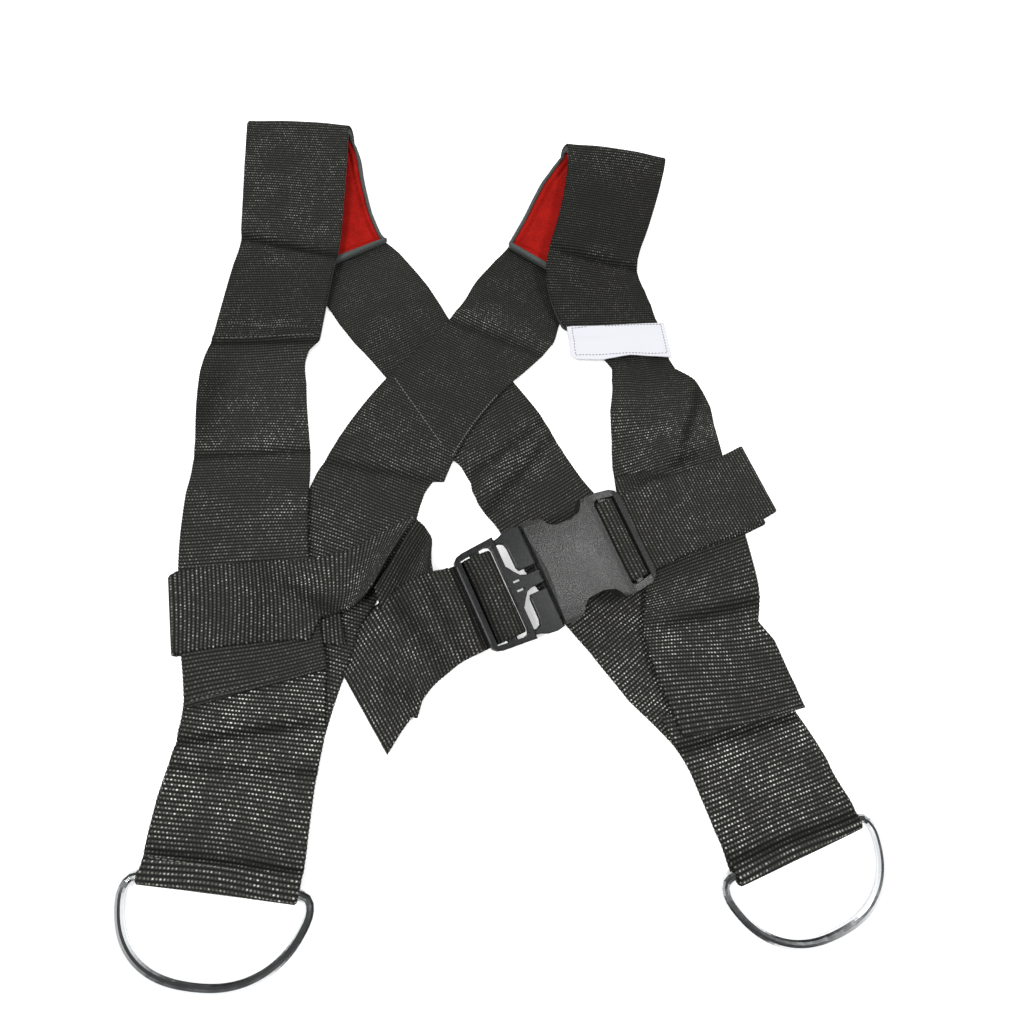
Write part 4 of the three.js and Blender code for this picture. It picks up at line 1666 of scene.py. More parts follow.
# Painted glint strength along each webbing.
LEFT_GLINTS = (
    (0, 0.22), (60, 0.2), (96, 0.5), (125, 0.45), (142, 0.2), (156, 0.2), (166, 0.7), (200, 0.5),
    (236, 0.3), (250, 0.2), (264, 0.15), (286, 0.3), (300, 0.2), (352, 0.2), (362, 0.5), (420, 0.5),
    (460, 0.4), (480, 0.25), (500, 0.1), (620, 0.15), (700, 0.3), (740, 0.15), (790, 0.15), (830, 0.5),
    (856, 0.8), (876, 0.3), (905, 0.2), (950, 0.6), (1000, 1.3), (1060, 1.5), (1120, 1.6), (1138, 1.2),
    (1143, 1.6), (1152, 0.9), (1162, 1.5), (1200, 2.0), (1228, 1.6),
)
RIGHT_GLINTS = (
    (0, 0.5), (12, 0.6), (28, 0.8), (45, 1.2), (58, 1.0), (66, 0.35), (76, 0.9), (86, 0.6), (96, 0.25),
    (160, 0.3), (185, 0.9), (205, 0.9), (228, 0.4), (248, 0.2), (288, 0.12), (316, 0.25), (328, 0.35),
    (340, 0.12), (366, 0.25), (382, 0.4), (396, 0.1), (450, 0.12), (470, 0.4), (488, 0.35), (500, 0.1),
    (624, 0.15), (680, 0.3), (705, 0.5), (722, 0.2), (790, 0.2), (820, 0.45), (850, 0.45), (866, 0.2),
    (890, 0.3), (915, 0.8), (1000, 0.9), (1100, 1.6), (1120, 1.7), (1132, 0.9), (1142, 1.2), (1172, 1.7),
    (1228, 2.0),
)
# Painted light and shade along each webbing, as shares of the yarn's colour.
LEFT_PAINTED_SHADING = (
    (0, 1), (250, 1.04), (264, 0.76), (350, 0.8), (364, 0.9), (480, 0.88), (640, 0.98), (720, 0.82),
    (820, 0.9), (860, 1), (1228, 1.05),
)
RIGHT_PAINTED_SHADING = (
    (0, 0.95), (240, 1), (272, 0.7), (370, 0.66), (390, 0.6), (480, 0.66), (500, 0.7), (640, 0.72),
    (700, 0.85), (820, 0.9), (880, 1), (1228, 1.05),
)
LEFT_CREASES = (
    Crease(164, 0, 4, 60, 3, -0.9, 0.7),
    Crease(173, 8, 6, 60, 5, 0.7, -0.4),
    Crease(116, 24, 20, 16, 9, 0.4, -1.4),
    Crease(175, 28, 0, 16, 12, 0.2, -0.8),
    Crease(212, -32, 80, 40, 14, 0, 0.6),
    Crease(40, -10, 10, 50, 9, 0.5),
    Crease(269, 0, -1, 60, 2.2, 0.9, -0.8),
    Crease(263, 0, -1, 60, 2.6, -0.5, 0.8),
    Crease(281, 0, -4, 34, 4, 0.2, -1.6),
    Crease(357, 0, -12, 60, 3.5, -1.7, 0.85),
    Crease(366, 0, -12, 60, 6, 0.9),
    Crease(342, -9, -20, 14, 5, 0.3, -2.2),
    Crease(487, 2, 0, 30, 14, 2.8),
    Crease(838, 0, -8, 60, 4, 1.2, 0.5),
    Crease(849, -12, -22, 48, 4, -1.6, -0.8),
    Crease(862, -8, -20, 48, 4, 1.3, 0.6),
    Crease(874, -8, -18, 48, 4, -1, -0.5),
    Crease(1143, 0, 0, 60, 5, 0.7),
    Crease(1152, 0, -4, 60, 3, -1, 0.85),
    Crease(1210, 0, -3, 60, 3.5, -1.2, 0.8),
)
RIGHT_CREASES = (
    Crease(64, 8, 6, 40, 4, -1.1, 0.75),
    Crease(72, 8, 6, 50, 6, 0.8),
    Crease(38, -20, 0, 26, 16, 0.3, -0.5),
    Crease(86, 22, 50, 18, 4, 0.9),
    Crease(4, 0, 17, 60, 4, 0.6),
    Crease(214, 22, 68, 42, 4, -1.4, 0.7),
    Crease(176, 8, 4, 14, 5, -1.2, 0.7),
    Crease(186, -12, 60, 14, 4, 1.2),
    Crease(206, 10, 60, 30, 5, 0.8),
    Crease(240, 30, 74, 26, 4, 0.8),
    Crease(328, 0, 0, 60, 5, 0.2),
    Crease(378, 6, -8, 60, 4, -1.6, 0.7),
    Crease(388, 0, -8, 60, 6, 0.8),
    Crease(487, 0, 0, 30, 14, 1.8),
    Crease(702, 0, -4, 50, 5, -1.1, -0.6),
    Crease(714, 0, -4, 50, 4, 1.1, 0.5),
    Crease(861, 0, -12, 60, 4, 1.2, 0.5),
    Crease(872, 0, -12, 60, 5, -1),
    Crease(1120, 0, 0, 60, 5, -0.6, -0.4),
    Crease(1133.5, 0, 0, 60, 1.6, 0.6, -0.3),
    Crease(1137.5, 4, 0, 60, 1.8, -1.1, 0.8),
    Crease(1181, 0, 4, 60, 2, -1, 0.6),
    Crease(1199, -6, 14, 50, 3, -2, 0.8),
    Crease(1207, 0, 13, 50, 5, 1.3),
)
LEFT_SEAMS = (
    Seam("left_front_end_stitches", ((2.6, -36), (3.4, 12)), 2.6, 1.7),
    # Grey thread dashes across the pad's front end stand for the light line on its edge: a painted
    # highlight.
    Seam("left_pad_end_glint_dashes", ((267.6, -36), (267.6, 36)), 3.4, 2.4),
    Seam("left_pad_front_stitches", ((283, -30), (279, -8), (277, 29)), 2.1, 2, upright=True),
)
RIGHT_SEAMS = (
    Seam("right_front_end_stitches", ((-14, -33), (9.5, 34)), 2.6, 1.6),
    Seam("crossing_stitches", ((787, -34), (805, -3), (823, 26)), 3, 2, face=-1, pale=True),
    # Pale thread dashes along the top strap's edge stand for the light on its selvedge: a painted
    # highlight.
    Seam(
        "crossing_edge_glint_dashes",
        ((764, 36.6), (790, 36.8), (829, 37.6)),
        2.6,
        1.7,
        face=-1,
        pale=True,
    ),
    Seam("left_ring_loop_stitches", ((1134, -37), (1133.4, 6)), 3.2, 2.6),
)


@dataclass
class LongWebbings:
    """The two long webbings, each with its stitches and its thread dashes that paint highlights."""

    finishes: Finishes

    def left_shoulder(self) -> Webbing:
        """Give the webbing from the left front over the left shoulder to the right ring.

        Returns:
            The webbing.
        """
        front = (LEFT_FRONT, LEFT_PAD_FRONT, LEFT_FOLD)
        stations = long_webbing(*front, LEFT_PAD_BACK, LEFT_BACK, RIGHT_LOOP, RIGHT_BAR, RIGHT_RETURN)
        return Webbing(
            "left_shoulder_webbing",
            stations,
            WIDE_WEB,
            ("left_front_strap", "left_shoulder_strap", "left_to_right_back_strap", "right_ring_loop"),
            edges=LEFT_EDGES,
            creases=LEFT_CREASES,
            glints=LEFT_GLINTS,
            painted_shading=LEFT_PAINTED_SHADING,
        )

    def right_shoulder(self) -> Webbing:
        """Give the webbing from the right front over the right shoulder to the left ring.

        Returns:
            The webbing.
        """
        front = (RIGHT_FRONT, RIGHT_PAD_FRONT, RIGHT_FOLD)
        stations = long_webbing(*front, RIGHT_PAD_BACK, RIGHT_BACK, LEFT_LOOP, LEFT_BAR, LEFT_RETURN)
        return Webbing(
            "right_shoulder_webbing",
            stations,
            WIDE_WEB,
            ("right_front_strap", "right_shoulder_strap", "right_to_left_back_strap", "left_ring_loop"),
            edges=RIGHT_EDGES,
            creases=RIGHT_CREASES,
            glints=RIGHT_GLINTS,
            painted_shading=RIGHT_PAINTED_SHADING,
            slant=(-18.0, 9.0),
        )

    def build(self) -> tuple[Webbing, Webbing]:
        """Build both webbings and the stitches and painted highlight dashes on them.

        Returns:
            The left and the right shoulder's webbing.
        """
        made = (self.left_shoulder(), self.right_shoulder())
        finishes = self.finishes
        for webbing, seams in zip(made, (LEFT_SEAMS, RIGHT_SEAMS)):
            piece = webbing.build(finishes.webbing)
            dress(piece, Part.HARNESS, Slot.WEBBING, webbing.nodes)
            for seam in seams:
                seam.build(webbing, finishes.pale_thread if seam.pale else finishes.grey_thread)
        return made


@dataclass
class Pad:
    """A shoulder pad: its felt lining and the tape that binds it.

    Attributes:
        side: left or right.
        finishes: the materials.
        back, front: the rows of its two layers.
        fold: where it folds.
        webbing: the webbing that it lines, whose edges and creases it follows.
        end_turn: how much further its back end turns than the webbing's rows, in degrees.
        step: the distance between samples along it, in mm.
        columns: how many faces lie across the lining besides those at the welt.
        rim_roll: how far from its edge the lining starts to round off, in mm.
        rim_share: the share of its thickness that the lining keeps at its edge.
        welt_inset, welt_width, welt_depth: the stitched groove's place and size, in mm.
        welt_shares: where faces lie across that groove, in widths from its middle.
        corner: the radius of the binding's corners, in mm.
        corner_steps, end_steps: how many steps a corner and an end of the binding take.
        rim_step: the distance between the binding's sections on its long sides, in mm.
        section_sides: how many points a section of the tape has.
        section_roundness: the power that squares its section; 1 would be an ellipse.
        end_swell: how much thicker the binding is at the ends, as a share.
        cell: how far the tape's weave runs from point to point of a section, in mm.
    """

    side: str
    finishes: Finishes
    back: Sequence[Row]
    front: Sequence[Row]
    fold: PadFold
    webbing: Webbing
    end_turn: float = 0.0
    step: float = 1.15
    columns: int = 24
    rim_roll: float = 5.0
    rim_share: float = 0.62
    welt_inset: float = 4.2
    welt_width: float = 0.9
    welt_depth: float = 2.2
    welt_shares: tuple[float, ...] = (-2, -1.2, -0.6, 0, 0.6, 1.2, 2)
    corner: float = 2.4
    corner_steps: int = 5
    end_steps: int = 40
    rim_step: float = 1.5
    section_sides: int = 14
    section_roundness: float = 0.55
    end_swell: float = 0.25
    cell: float = 0.8

    def __post_init__(self) -> None:
        """Sample the pad's path, from its back end to its front one."""
        x, y, height, turn = self.back[0]
        rows = [(x, y, height, turn + self.end_turn), *self.back[1:]]
        stations = joined(along_rows(rows), self.fold.stations(), along_rows(self.front))
        self.path = Path(stations, self.step)
        line = self.webbing.path
        gaps = np.linalg.norm(line.at - np.array([x, y, height]), axis=1)
        self.webbing_along = float(line.run[int(np.argmin(gaps))])
        self.seat = WEB_THICKNESS / 2 + PIECE_GAP

    def spread(self, along: np.ndarray, side: float) -> np.ndarray:
        """Give how much wider than even the webbing is at places along the pad, in mm."""
        return self.webbing.spread_at(self.webbing_along - np.asarray(along, float), side)

    def settle(self, along: np.ndarray, across: np.ndarray) -> np.ndarray:
        """Give how far the webbing's creases move the pad out of its path, in mm."""
        place = self.webbing_along - np.asarray(along, float)
        return -self.webbing.lift_at(place, np.asarray(across, float))

    def swell(self, inward: float, ends: np.ndarray) -> np.ndarray:
        """Give the lining's thickness, rounded off at its edge and with the welt's groove.

        Args:
            inward: how far in from the lining's side, in mm.
            ends: how far in from its nearest end, for each place along it, in mm.

        Returns:
            The thickness at each place, in mm.
        """
        rim = np.clip(np.minimum(inward, ends) / self.rim_roll, 0, 1)
        full = self.rim_share + (1 - self.rim_share) * np.sqrt(rim * (2 - rim))
        side_groove = np.exp(-(((inward - self.welt_inset) / self.welt_width) ** 2))
        end_groove = np.exp(-(((ends - self.welt_inset) / self.welt_width) ** 2))
        return LINING_THICKNESS * full - self.welt_depth * np.maximum(side_groove, end_groove)

    def lining(self) -> bpy.types.Object:
        """Build the felt lining, crowned between its bound edges, with a stitched welt.

        Returns:
            The lining.
        """
        path = self.path
        half = WIDE_WEB / 2 - SIDE_FACE - PIECE_GAP
        inset = END_FACE + PIECE_GAP
        rows = np.flatnonzero((path.run > inset) & (path.run < path.length - inset))
        along = path.run[rows]
        ends = np.minimum(along - inset, path.length - inset - along)
        near = [half - self.welt_inset + k * self.welt_width for k in self.welt_shares]
        even = half * np.sin(np.linspace(-1, 1, self.columns + 1) * math.pi / 2)
        places = np.unique(np.round([*even, *near, *[-v for v in near]], 3)) / half
        last = len(places) - 1
        grid = []
        for number, share in enumerate([*places, *places[::-1]]):
            top = number > last
            across = share * (half + self.spread(along, share) * share**2)
            swell = self.swell(half * (1 - abs(share)), ends) if top else np.zeros(len(rows))
            lift = self.seat + swell + self.settle(along, across)
            sideways = path.side[rows] * across[:, None]
            grid.append(path.at[rows] + sideways + path.normal[rows] * lift[:, None])
        ring = len(grid)
        faces = [(a, d, c, b) for a, b, c, d in tube_faces(len(rows), ring)]
        for i, flip in ((0, True), (len(rows) - 1, False)):
            for j in range(last):
                low, high = i * ring + j, (i + 1) * ring - 1 - j
                face = (low, high, high - 1, low + 1)
                faces.append(face[::-1] if flip else face)
        points = np.stack(grid, axis=1).reshape(-1, 3)
        piece = mesh_object(f"{self.side}_felt_lining", points, faces, self.finishes.felt)
        recalculate(piece)
        return dress(piece, Part.HARNESS, Slot.FELT, (f"{self.side}_pad_lining",))

    def half_rim(self, sign: int) -> list[tuple[float, float, float]]:
        """Give half of the binding's middle line: one long side and the end after it.

        Args:
            sign: -1 for the side that runs to the front end, 1 for the one that runs back.

        Returns:
            Rows of distance along, distance across and the face's width, in mm.
        """
        inset = END_FACE / 2
        half = WIDE_WEB / 2 - SIDE_FACE / 2 - TAPE_INSET
        first, last = (0.0, self.path.length) if sign < 0 else (self.path.length, 0.0)
        way = -sign
        straight = self.path.length - 2 * (inset + self.corner)
        steps = int(straight / self.rim_step)
        rows = []
        for i in range(steps + 1):
            along = first + way * (inset + self.corner + straight * i / steps)
            rows.append((along, sign * (half + float(self.spread(along, sign))), SIDE_FACE))
        wide = half + float(self.spread(last, sign))
        wide_after = half + float(self.spread(last, -sign))
        quarter = [math.pi / 2 * i / self.corner_steps for i in range(1, self.corner_steps)]
        for i, angle in enumerate(quarter, 1):
            face = SIDE_FACE + (END_FACE - SIDE_FACE) * i / self.corner_steps
            along = last - way * (inset + self.corner * (1 - math.sin(angle)))
            rows.append((along, sign * (wide - self.corner * (1 - math.cos(angle))), face))
        start, stop = sign * (wide - self.corner), -sign * (wide_after - self.corner)
        for i in range(self.end_steps + 1):
            rows.append((last - way * inset, start + (stop - start) * i / self.end_steps, END_FACE))
        for i, angle in enumerate(quarter, 1):
            face = END_FACE + (SIDE_FACE - END_FACE) * i / self.corner_steps
            along = last - way * (inset + self.corner * (1 - math.cos(angle)))
            rows.append((along, -sign * (wide_after - self.corner * (1 - math.sin(angle))), face))
        return rows

    def tape_section(self) -> list[tuple[float, float]]:
        """Give the folded tape's section.

        Returns:
            Places out, in widths of its face, and up, in shares of its thickness.
        """
        section = []
        for i in range(self.section_sides):
            angle = math.tau * i / self.section_sides
            out, up = (
                0.5 * math.copysign(abs(value) ** self.section_roundness, value)
                for value in (math.cos(angle), math.sin(angle))
            )
            section.append((out, 0.5 + up))
        return section

    def binding(self) -> bpy.types.Object:
        """Build the folded tape round the lining's edge, as a rounded U in section.

        Returns:
            The binding.
        """
        rim = np.array([*self.half_rim(-1), *self.half_rim(1)], float)
        section = self.tape_section()
        points, weave = [], []
        travelled = 0.0
        for i, (along, across, face) in enumerate(rim):
            before, after = rim[i - 1], rim[(i + 1) % len(rim)]
            tangent = (after - before)[:2] / np.linalg.norm((after - before)[:2])
            travelled += float(np.linalg.norm((rim[i] - before)[:2])) if i else 0.0
            endward = (face - SIDE_FACE) / (END_FACE - SIDE_FACE)
            thick = BINDING_THICKNESS * (1 + self.end_swell * endward)
            base = self.seat + float(self.settle(along, across))
            for number, (out, up) in enumerate(section):
                spot = (along + tangent[1] * out * face, across - tangent[0] * out * face)
                points.append(self.path.point(*spot, base + up * thick))
                weave.append((number * self.cell, travelled))
        faces = tube_faces(len(rim), len(section), closed=True)
        name = f"{self.side}_binding_tape"
        cloth = Cloth(np.array(weave))
        piece = mesh_object(name, np.array(points), faces, self.finishes.tape, cloth)
        recalculate(piece)
        return dress(piece, Part.HARNESS, Slot.TAPE, (f"{self.side}_pad_binding",))

    def build(self) -> None:
        """Build the lining and the tape."""
        self.lining()
        self.binding()
        log.info("%s pad: %.0f mm from end to end", self.side, self.path.length)


@dataclass
class Belt:
    """The belt: a loop round each front strap, and the webs to the buckle."""

    finishes: Finishes

    def left_loop(self) -> Webbing:
        """Give the loop round the left front strap, up to its ridge crease.

        Returns:
            The webbing.
        """
        stations = joined(
            along_rows(BELT_LEFT_UNDER),
            belt_fold(BELT_LEFT_UNDER, BELT_LEFT_OVER),
            along_rows(BELT_LEFT_OVER),
        )
        return Webbing(
            "left_belt_loop_web",
            stations,
            BELT_WEB,
            ("left_belt_loop",),
            columns=BELT_COLUMNS,
            edges=edges(
                (88, 0, 0), (96, 0, -3.5), (104, 0, 0), (176, 0, 0), (184, -15, 0), (200, -12, 0),
                (234, 0, 0),
            ),
            creases=(
                Crease(184, -6, -52, 30, 5, -1.8, 0.6),
                Crease(198, 0, -60, 40, 7, 1.4, -0.4),
                Crease(150, 0, 4, 40, 10, -0.6, 0.3),
                Crease(118, 0, 0, 40, 6, 0.5),
            ),
            glints=((0, 0.5), (95, 0.75), (180, 0.8), (215, 0.6)),
        )

    def left_run(self) -> Webbing:
        """Give the run from the ridge crease to the plug.

        Returns:
            The webbing.
        """
        start = wrap_rows(True, (LEAD, 0.0)).part(slice(2))
        return Webbing(
            "left_belt_run_web",
            joined(along_rows(BELT_LEFT_RUN), start),
            BELT_WEB,
            ("left_belt_run",),
            columns=BELT_COLUMNS,
            edges=edges((0, 0, 0), (8, 3, 2), (24, 6, 6), (36, 3, 4), (50, 0, 2), (90, 0, 0)),
            # Painted glints and painted light and shade along the run.
            glints=((0, 0.2), (20, 0.3), (40, 0.8), (90, 0.9)),
            painted_shading=((0, 0.85), (30, 1.15)),
        )

    def left_wrap(self) -> Webbing:
        """Give the web over the plug's bar.

        Returns:
            The webbing.
        """
        return Webbing(
            "left_belt_wrap_web",
            wrap_rows(True, (0.0, 0.0)),
            BELT_WEB,
            ("left_belt_wrap",),
            columns=BELT_COLUMNS,
            # Painted light and shade over the bar: lighter on the roll's top, darker at its ends.
            glints=((22, 0.1), (38, 0.45), (48, 0.1)),
            painted_shading=((20, 0.6), (38, 1.0), (46, 0.6)),
        )

    def left_tail(self) -> Webbing:
        """Give the free tail from the plug.

        Returns:
            The webbing.
        """
        start = wrap_rows(True, (0.0, LEAD)).part(slice(-2, None))
        return Webbing(
            "left_belt_tail_web",
            joined(start, along_rows(BELT_LEFT_TAIL)),
            BELT_WEB,
            ("left_belt_tail",),
            columns=BELT_COLUMNS,
            edges=edges(
                (0, 0, 0), (12, 0, 3), (24, 0, 7), (36, 0, 9), (48, 0, 11), (57, 4, 10.5),
                (59.5, 0.8, 10), (70, 0, 5), (76, 0, 1.5), (90, 0, 0),
            ),
            creases=(
                Crease(14, -4, 6, 40, 4, -1.2, 0.4),
                Crease(32, 4, 14, 34, 5, -1.5, 0.5),
                Crease(42, 0, 16, 34, 5, 1.3, -0.5),
                Crease(58, -12, 30, 20, 5, -1.3, 0.4),
                Crease(66, 14, -20, 18, 6, 1.1, -0.4),
            ),
            glints=((40, 0.7), (70, 0.9)),
        )

    def right(self) -> Webbing:
        """Give the right side: the loop, the web over the socket's bar and the free tail.

        Returns:
            The webbing.
        """
        stations = joined(
            along_rows(BELT_RIGHT_UNDER),
            belt_fold(BELT_RIGHT_UNDER, BELT_RIGHT_OVER),
            along_rows(BELT_RIGHT_OVER),
            wrap_rows(False, (LEAD, LEAD)),
            along_rows(BELT_RIGHT_TAIL),
        )
        return Webbing(
            "right_belt_web",
            stations,
            BELT_WEB,
            ("right_belt_loop", "right_belt_wrap", "right_belt_tail"),
            columns=BELT_COLUMNS,
            edges=edges(
                (132, 0, 0), (146, 0, 5), (158, 0, 10), (178, 0, 12), (184, 0, 12), (187, 0, 2),
                (190, 0, 0),
            ),
            creases=(
                Crease(170, 33, 70, 18, 4, 1.4, -0.3),
                Crease(158, 30, 78, 18, 4, -1.2, 0.6),
                Crease(233, -6, 6, 50, 5, -0.8, 0.3),
                Crease(262, 4, 4, 50, 10, 0.7),
            ),
            glints=((0, 0.5), (170, 0.6), (185, 0.35), (215, 0.35), (225, 0.5), (260, 0.6), (300, 0.4)),
        )

    def build(self) -> None:
        """Build the belt's pieces."""
        for webbing, part in (
            (self.left_loop(), Part.HARNESS),
            (self.left_wrap(), Part.PLUG),
            (self.right(), Part.HARNESS),
        ):
            dress(webbing.build(self.finishes.webbing), part, Slot.WEBBING, webbing.nodes)
        for webbing, start, end in (
            (self.left_run(), (-56, 185, 17), (-16, 148, 12)),
            (self.left_tail(), (-66, 98, 4), (-20, 138, 15)),
        ):
            piece = webbing.build(self.finishes.webbing)
            ends = [to_metres(np.array(p, float)) for p in (start, end)]
            tuple(ends[0])
            tuple(ends[1])
            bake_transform(piece)
            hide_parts(*webbing.nodes)


@dataclass
class PadLabel:
    """The white label sewn to the right pad's front end.

    Attributes:
        finishes: the materials.
        length: its size along the pad, in mm.
        thickness: its thickness, in mm.
        columns: how many faces lie across it.
    """

    finishes: Finishes
    length: float = 33.0
    thickness: float = 0.6
    columns: int = 16

    def cloth(self) -> Webbing:
        """Give the label's cloth, a little wavy and not quite square.

        Returns:
            The cloth.
        """
        return Webbing(
            "pad_label_cloth",
            along_rows(LABEL),
            self.length,
            ("pad_label",),
            edges=edges(
                (0, -3, -2), (5, 0, -1.6), (24, 1, -2.2), (46, -1.6, -2), (66, -0.6, -1.4), (80, 1.5, -1),
            ),
            creases=(
                Crease(22, -16, 0, 12, 9, 0.7),
                Crease(46, -16, 0, 10, 8, -0.5),
                Crease(64, -16, 0, 10, 8, 0.8),
                Crease(2, 0, 90, 30, 3, -1.2),
            ),
            thickness=self.thickness,
            relief=0.0,
            bead=0.0,
            columns=self.columns,
        )

    def stitches(self) -> Seam:
        """Give the stitches along its border.

        Returns:
            The row of stitches.
        """
        border = ((16, 13.5), (4, 12.5), (4, -12.5), (76, -13.5), (76, 13.5), (30, 13.5))
        lift = self.thickness / 2
        return Seam("pad_label_stitches", border, 2.6, 1.7, lift=lift, radius=0.24, face=-1)

    def build(self) -> None:
        """Build the label and its stitches."""
        cloth = self.cloth()
        piece = cloth.build(self.finishes.label)
        dress(piece, Part.HARNESS, Slot.LABEL, cloth.nodes)
        self.stitches().build(cloth, self.finishes.dark_thread)


@dataclass
class Hardware:
    """The buckle's mouldings and the two rings, which keep their CAD shapes.

    Attributes:
        finishes: the materials.
        grained, polished: the mouldings with the grained and with the polished surface.
        rings: the rings.
        edge_radius: how far the mouldings' edges are rounded, in mm.
        edge_steps: how many faces that rounding has.
        least_corner: the least corner that is rounded, in degrees.
    """

    finishes: Finishes
    grained: tuple[str, ...] = ("buckle_socket",)
    polished: tuple[str, ...] = ("buckle_plug", "upper_release_arm", "lower_release_arm")
    rings: tuple[str, ...] = ("left_ring", "right_ring")
    edge_radius: float = 0.7
    edge_steps: int = 3
    least_corner: float = 28.0

    def moulding(self, piece: bpy.types.Object, material: bpy.types.Material) -> None:
        """Dress a moulding, with rounded edges.

        Args:
            piece: its CAD node.
            material: its material.
        """
        set_material(piece, material)
        bevel = piece.modifiers.new("rounded_edges", "BEVEL")
        bevel.width = self.edge_radius * MM
        bevel.segments = self.edge_steps
        bevel.limit_method = "ANGLE"
        bevel.angle_limit = math.radians(self.least_corner)
        bevel.harden_normals = True
        log.info("%s: dressed", piece.name)

    def ring(self, piece: bpy.types.Object) -> None:
        """Dress a ring.

        Args:
            piece: its CAD node.
        """
        set_material(piece, self.finishes.chrome)
        piece.data.polygons.foreach_set("use_smooth", [True] * len(piece.data.polygons))
        log.info("%s: dressed", piece.name)

    def build(self, nodes: dict[str, bpy.types.Object]) -> None:
        """Dress the CAD nodes.

        Args:
            nodes: the CAD nodes by name.
        """
        for name in self.grained:
            self.moulding(nodes[name], self.finishes.grained_acetal)
        for name in self.polished:
            self.moulding(nodes[name], self.finishes.polished_acetal)
        for name in self.rings:
            self.ring(nodes[name])


def set_material(piece: bpy.types.Object, material: bpy.types.Material) -> None:
    """Give a piece one material in every slot.

    Args:
        piece: the piece.
        material: the material.
    """
    if not piece.material_slots:
        piece.data.materials.append(material)
    for slot in piece.material_slots:
        slot.link = "OBJECT"
        slot.material = material


# Studio


@dataclass(frozen=True)
class Lamp:
    """A round area lamp that points at the harness's middle.

    Attributes:
        name: its name.
        place: where it stands, in metres.
        size: its diameter, in metres.
        power: its power, in watts.
    """

    name: str
    place: tuple[float, float, float]
    size: float
    power: float

    def build(self) -> None:
        """Add the lamp."""
        data = bpy.data.lights.new(self.name, "AREA")
        data.shape = "DISK"
        data.size = self.size
        data.energy = self.power
        lamp = bpy.data.objects.new(self.name, data)
        lamp.location = self.place
        lamp.rotation_euler = (-Vector(self.place)).to_track_quat("-Z", "Y").to_euler()
        bpy.context.scene.collection.objects.link(lamp)


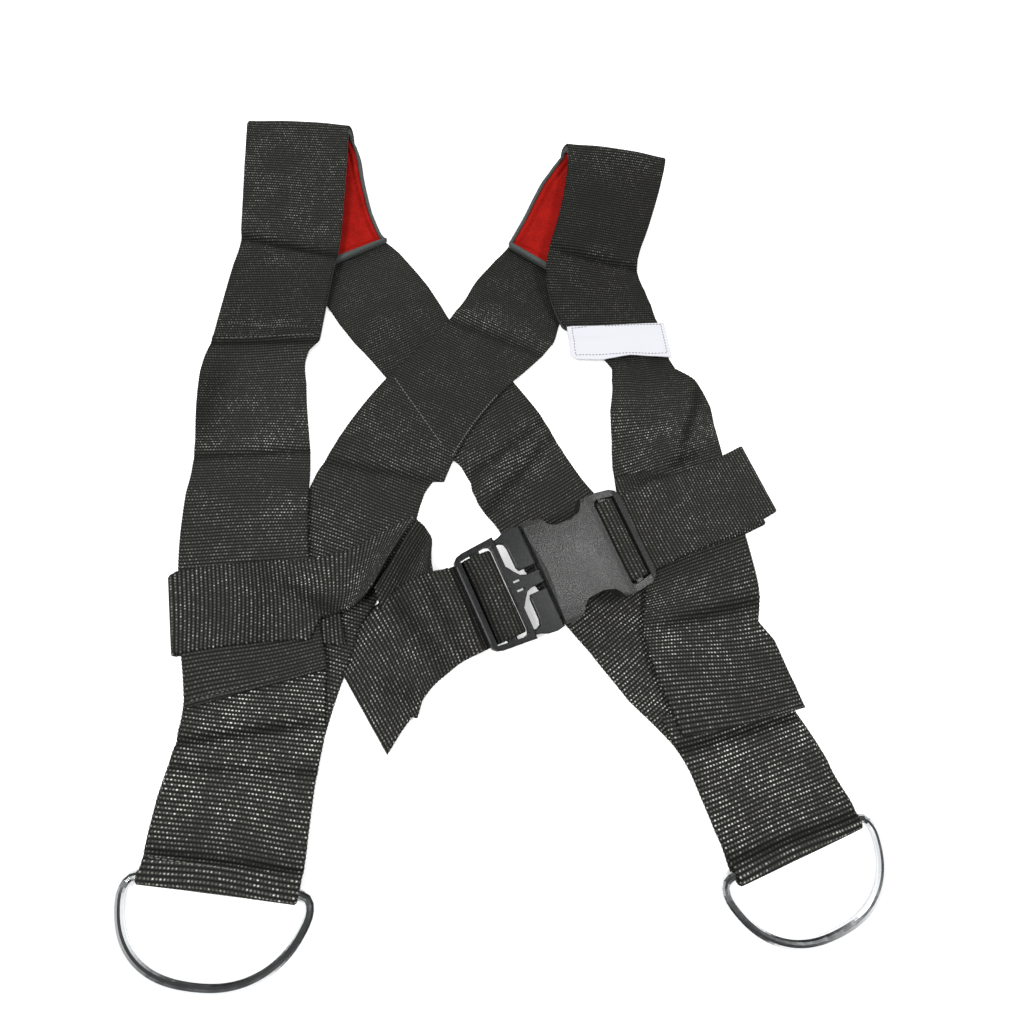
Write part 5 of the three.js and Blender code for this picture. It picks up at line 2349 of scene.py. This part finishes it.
@dataclass(frozen=True)
class Studio:
    """The camera at the photograph's angle, a pale floor and soft light.

    Attributes:
        eye: the camera's place in the plan, in mm.
        yaw: how far it looks from +Y towards +X, in degrees.
        pitch: how far it looks down, in degrees.
        roll: its turn about its own axis, in degrees.
        lens: its focal length, in mm.
        sensor: its sensor's width, in mm.
        clip: the nearest and farthest distance that it sees, in metres.
        soft_light: the world's strength where it lights the harness.
        mirrored: what a mirror sees, as ramps over the world's height from 0 to 1. Each ramp has
            its lower and upper end and the strengths there, and the ramps are multiplied.
        floor_colour: the floor's colour.
        floor_glow: what is added to it for the camera alone.
        floor_roughness: how matt it is.
        floor_reach: how far it goes from the middle, in metres.
        lamps: the lamps.
    """

    eye: tuple[float, float, float] = (-24.1, -4.3, 390.0)
    yaw: float = 11.76
    pitch: float = 59.9
    roll: float = 8.08
    lens: float = 23.73
    sensor: float = 36.0
    clip: tuple[float, float] = (0.01, 20.0)
    soft_light: float = 0.5
    mirrored: tuple[tuple[float, ...], ...] = ((0.3, 0.42, 0.02, 1.3), (0.5, 0.64, 1.0, 0.04))
    floor_colour: str = "f2f2f2"
    floor_glow: float = 0.45
    floor_roughness: float = 0.5
    floor_reach: float = 6.0
    lamps: tuple[Lamp, ...] = (
        Lamp("key", (-0.5, -0.7, 1.3), 0.4, 14.0),
        Lamp("fill", (0.64, -0.2, 1.13), 0.24, 6.5),
        Lamp("back", (-0.1, 1.1, 0.9), 0.7, 4.0),
    )

    def camera(self) -> None:
        """Add the camera."""
        data = bpy.data.cameras.new("camera")
        data.lens = self.lens
        data.sensor_width = self.sensor
        data.clip_start, data.clip_end = self.clip
        yaw, pitch, roll = (math.radians(a) for a in (self.yaw, self.pitch, self.roll))
        ahead = Vector((math.sin(yaw), math.cos(yaw), 0))
        right = Vector((math.cos(yaw), -math.sin(yaw), 0))
        look = ahead * math.cos(pitch) - Vector((0, 0, 1)) * math.sin(pitch)
        up = right.cross(look)
        x = right * math.cos(roll) + up * math.sin(roll)
        y = up * math.cos(roll) - right * math.sin(roll)
        turn = Matrix((x, y, -look)).transposed().to_4x4()
        camera = bpy.data.objects.new("camera", data)
        camera.matrix_world = Matrix.Translation(Vector(to_metres(np.array(self.eye)))) @ turn
        bpy.context.scene.collection.objects.link(camera)
        bpy.context.scene.camera = camera

    def background(self) -> None:
        """Set the world.

        The camera sees it white. The harness is lit softly by it, and a mirror sees a bright
        band half way up and dark above and below, as among lit walls under a dark ceiling.
        """
        world = bpy.data.worlds.new("studio")
        world.use_nodes = True
        bpy.context.scene.world = world
        world.node_tree.nodes.clear()
        add = partial(add_node, world.node_tree)
        ray = add("LightPath").outputs
        place = add("TexCoord").outputs["Generated"]
        level = add("SeparateXYZ", (place,)).outputs["Z"]
        ends = ("From Min", "From Max", "To Min", "To Max")
        ramps = [
            add("MapRange", {"Value": level, **dict(zip(ends, values))}) for values in self.mirrored
        ]
        band = add("Math", ramps, operation="MULTIPLY")
        lit = add("Mix", {"Factor": ray["Is Glossy Ray"], "A": self.soft_light, "B": band})
        seen = add("Mix", {"Factor": ray["Is Camera Ray"], "A": lit, "B": 1.0})
        back = add("Background", {"Color": (1, 1, 1, 1), "Strength": seen})
        add("OutputWorld", {"Surface": back})

    def floor(self) -> None:
        """Add the pale floor, which keeps the harness's shadow."""
        material = bpy.data.materials.new("white_table_laminate")
        material.use_nodes = True
        material.node_tree.nodes.clear()
        add = partial(add_node, material.node_tree)
        paint = {"Color": linear(self.floor_colour), "Roughness": self.floor_roughness}
        base = add("BsdfDiffuse", paint)
        seen = add("LightPath").outputs["Is Camera Ray"]
        strength = add("Math", (seen, self.floor_glow), operation="MULTIPLY")
        glow = add("Emission", {"Color": (1, 1, 1, 1), "Strength": strength})
        add("OutputMaterial", {"Surface": add("AddShader", (base, glow))})
        mesh = bpy.data.meshes.new("floor")
        turns = ((-1, -1), (1, -1), (1, 1), (-1, 1))
        reach = self.floor_reach
        mesh.from_pydata([(x * reach, y * reach, 0) for x, y in turns], [], [(0, 1, 2, 3)])
        mesh.materials.append(material)
        floor = bpy.data.objects.new("floor", mesh)
        bpy.context.scene.collection.objects.link(floor)

    def build(self) -> None:
        """Build the camera, the background, the floor and the lamps."""
        bpy.context.scene.view_settings.view_transform = "Standard"
        self.camera()
        self.background()
        self.floor()
        for lamp in self.lamps:
            lamp.build()


def main() -> None:
    """Load the frame and build the harness in order."""
    logging.basicConfig(level=logging.INFO, format="%(name)s: %(message)s")
    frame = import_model()
    Studio().build()
    finishes = Finishes()
    left, right = LongWebbings(finishes).build()
    Pad("left", finishes, LEFT_PAD_BACK, LEFT_PAD_FRONT, LEFT_FOLD, left, end_turn=5.0).build()
    Pad("right", finishes, RIGHT_PAD_BACK, RIGHT_PAD_FRONT, RIGHT_FOLD, right).build()
    Belt(finishes).build()
    PadLabel(finishes).build()
    Hardware(finishes).build(frame["nodes"])


if __name__ == "__main__":
    main()
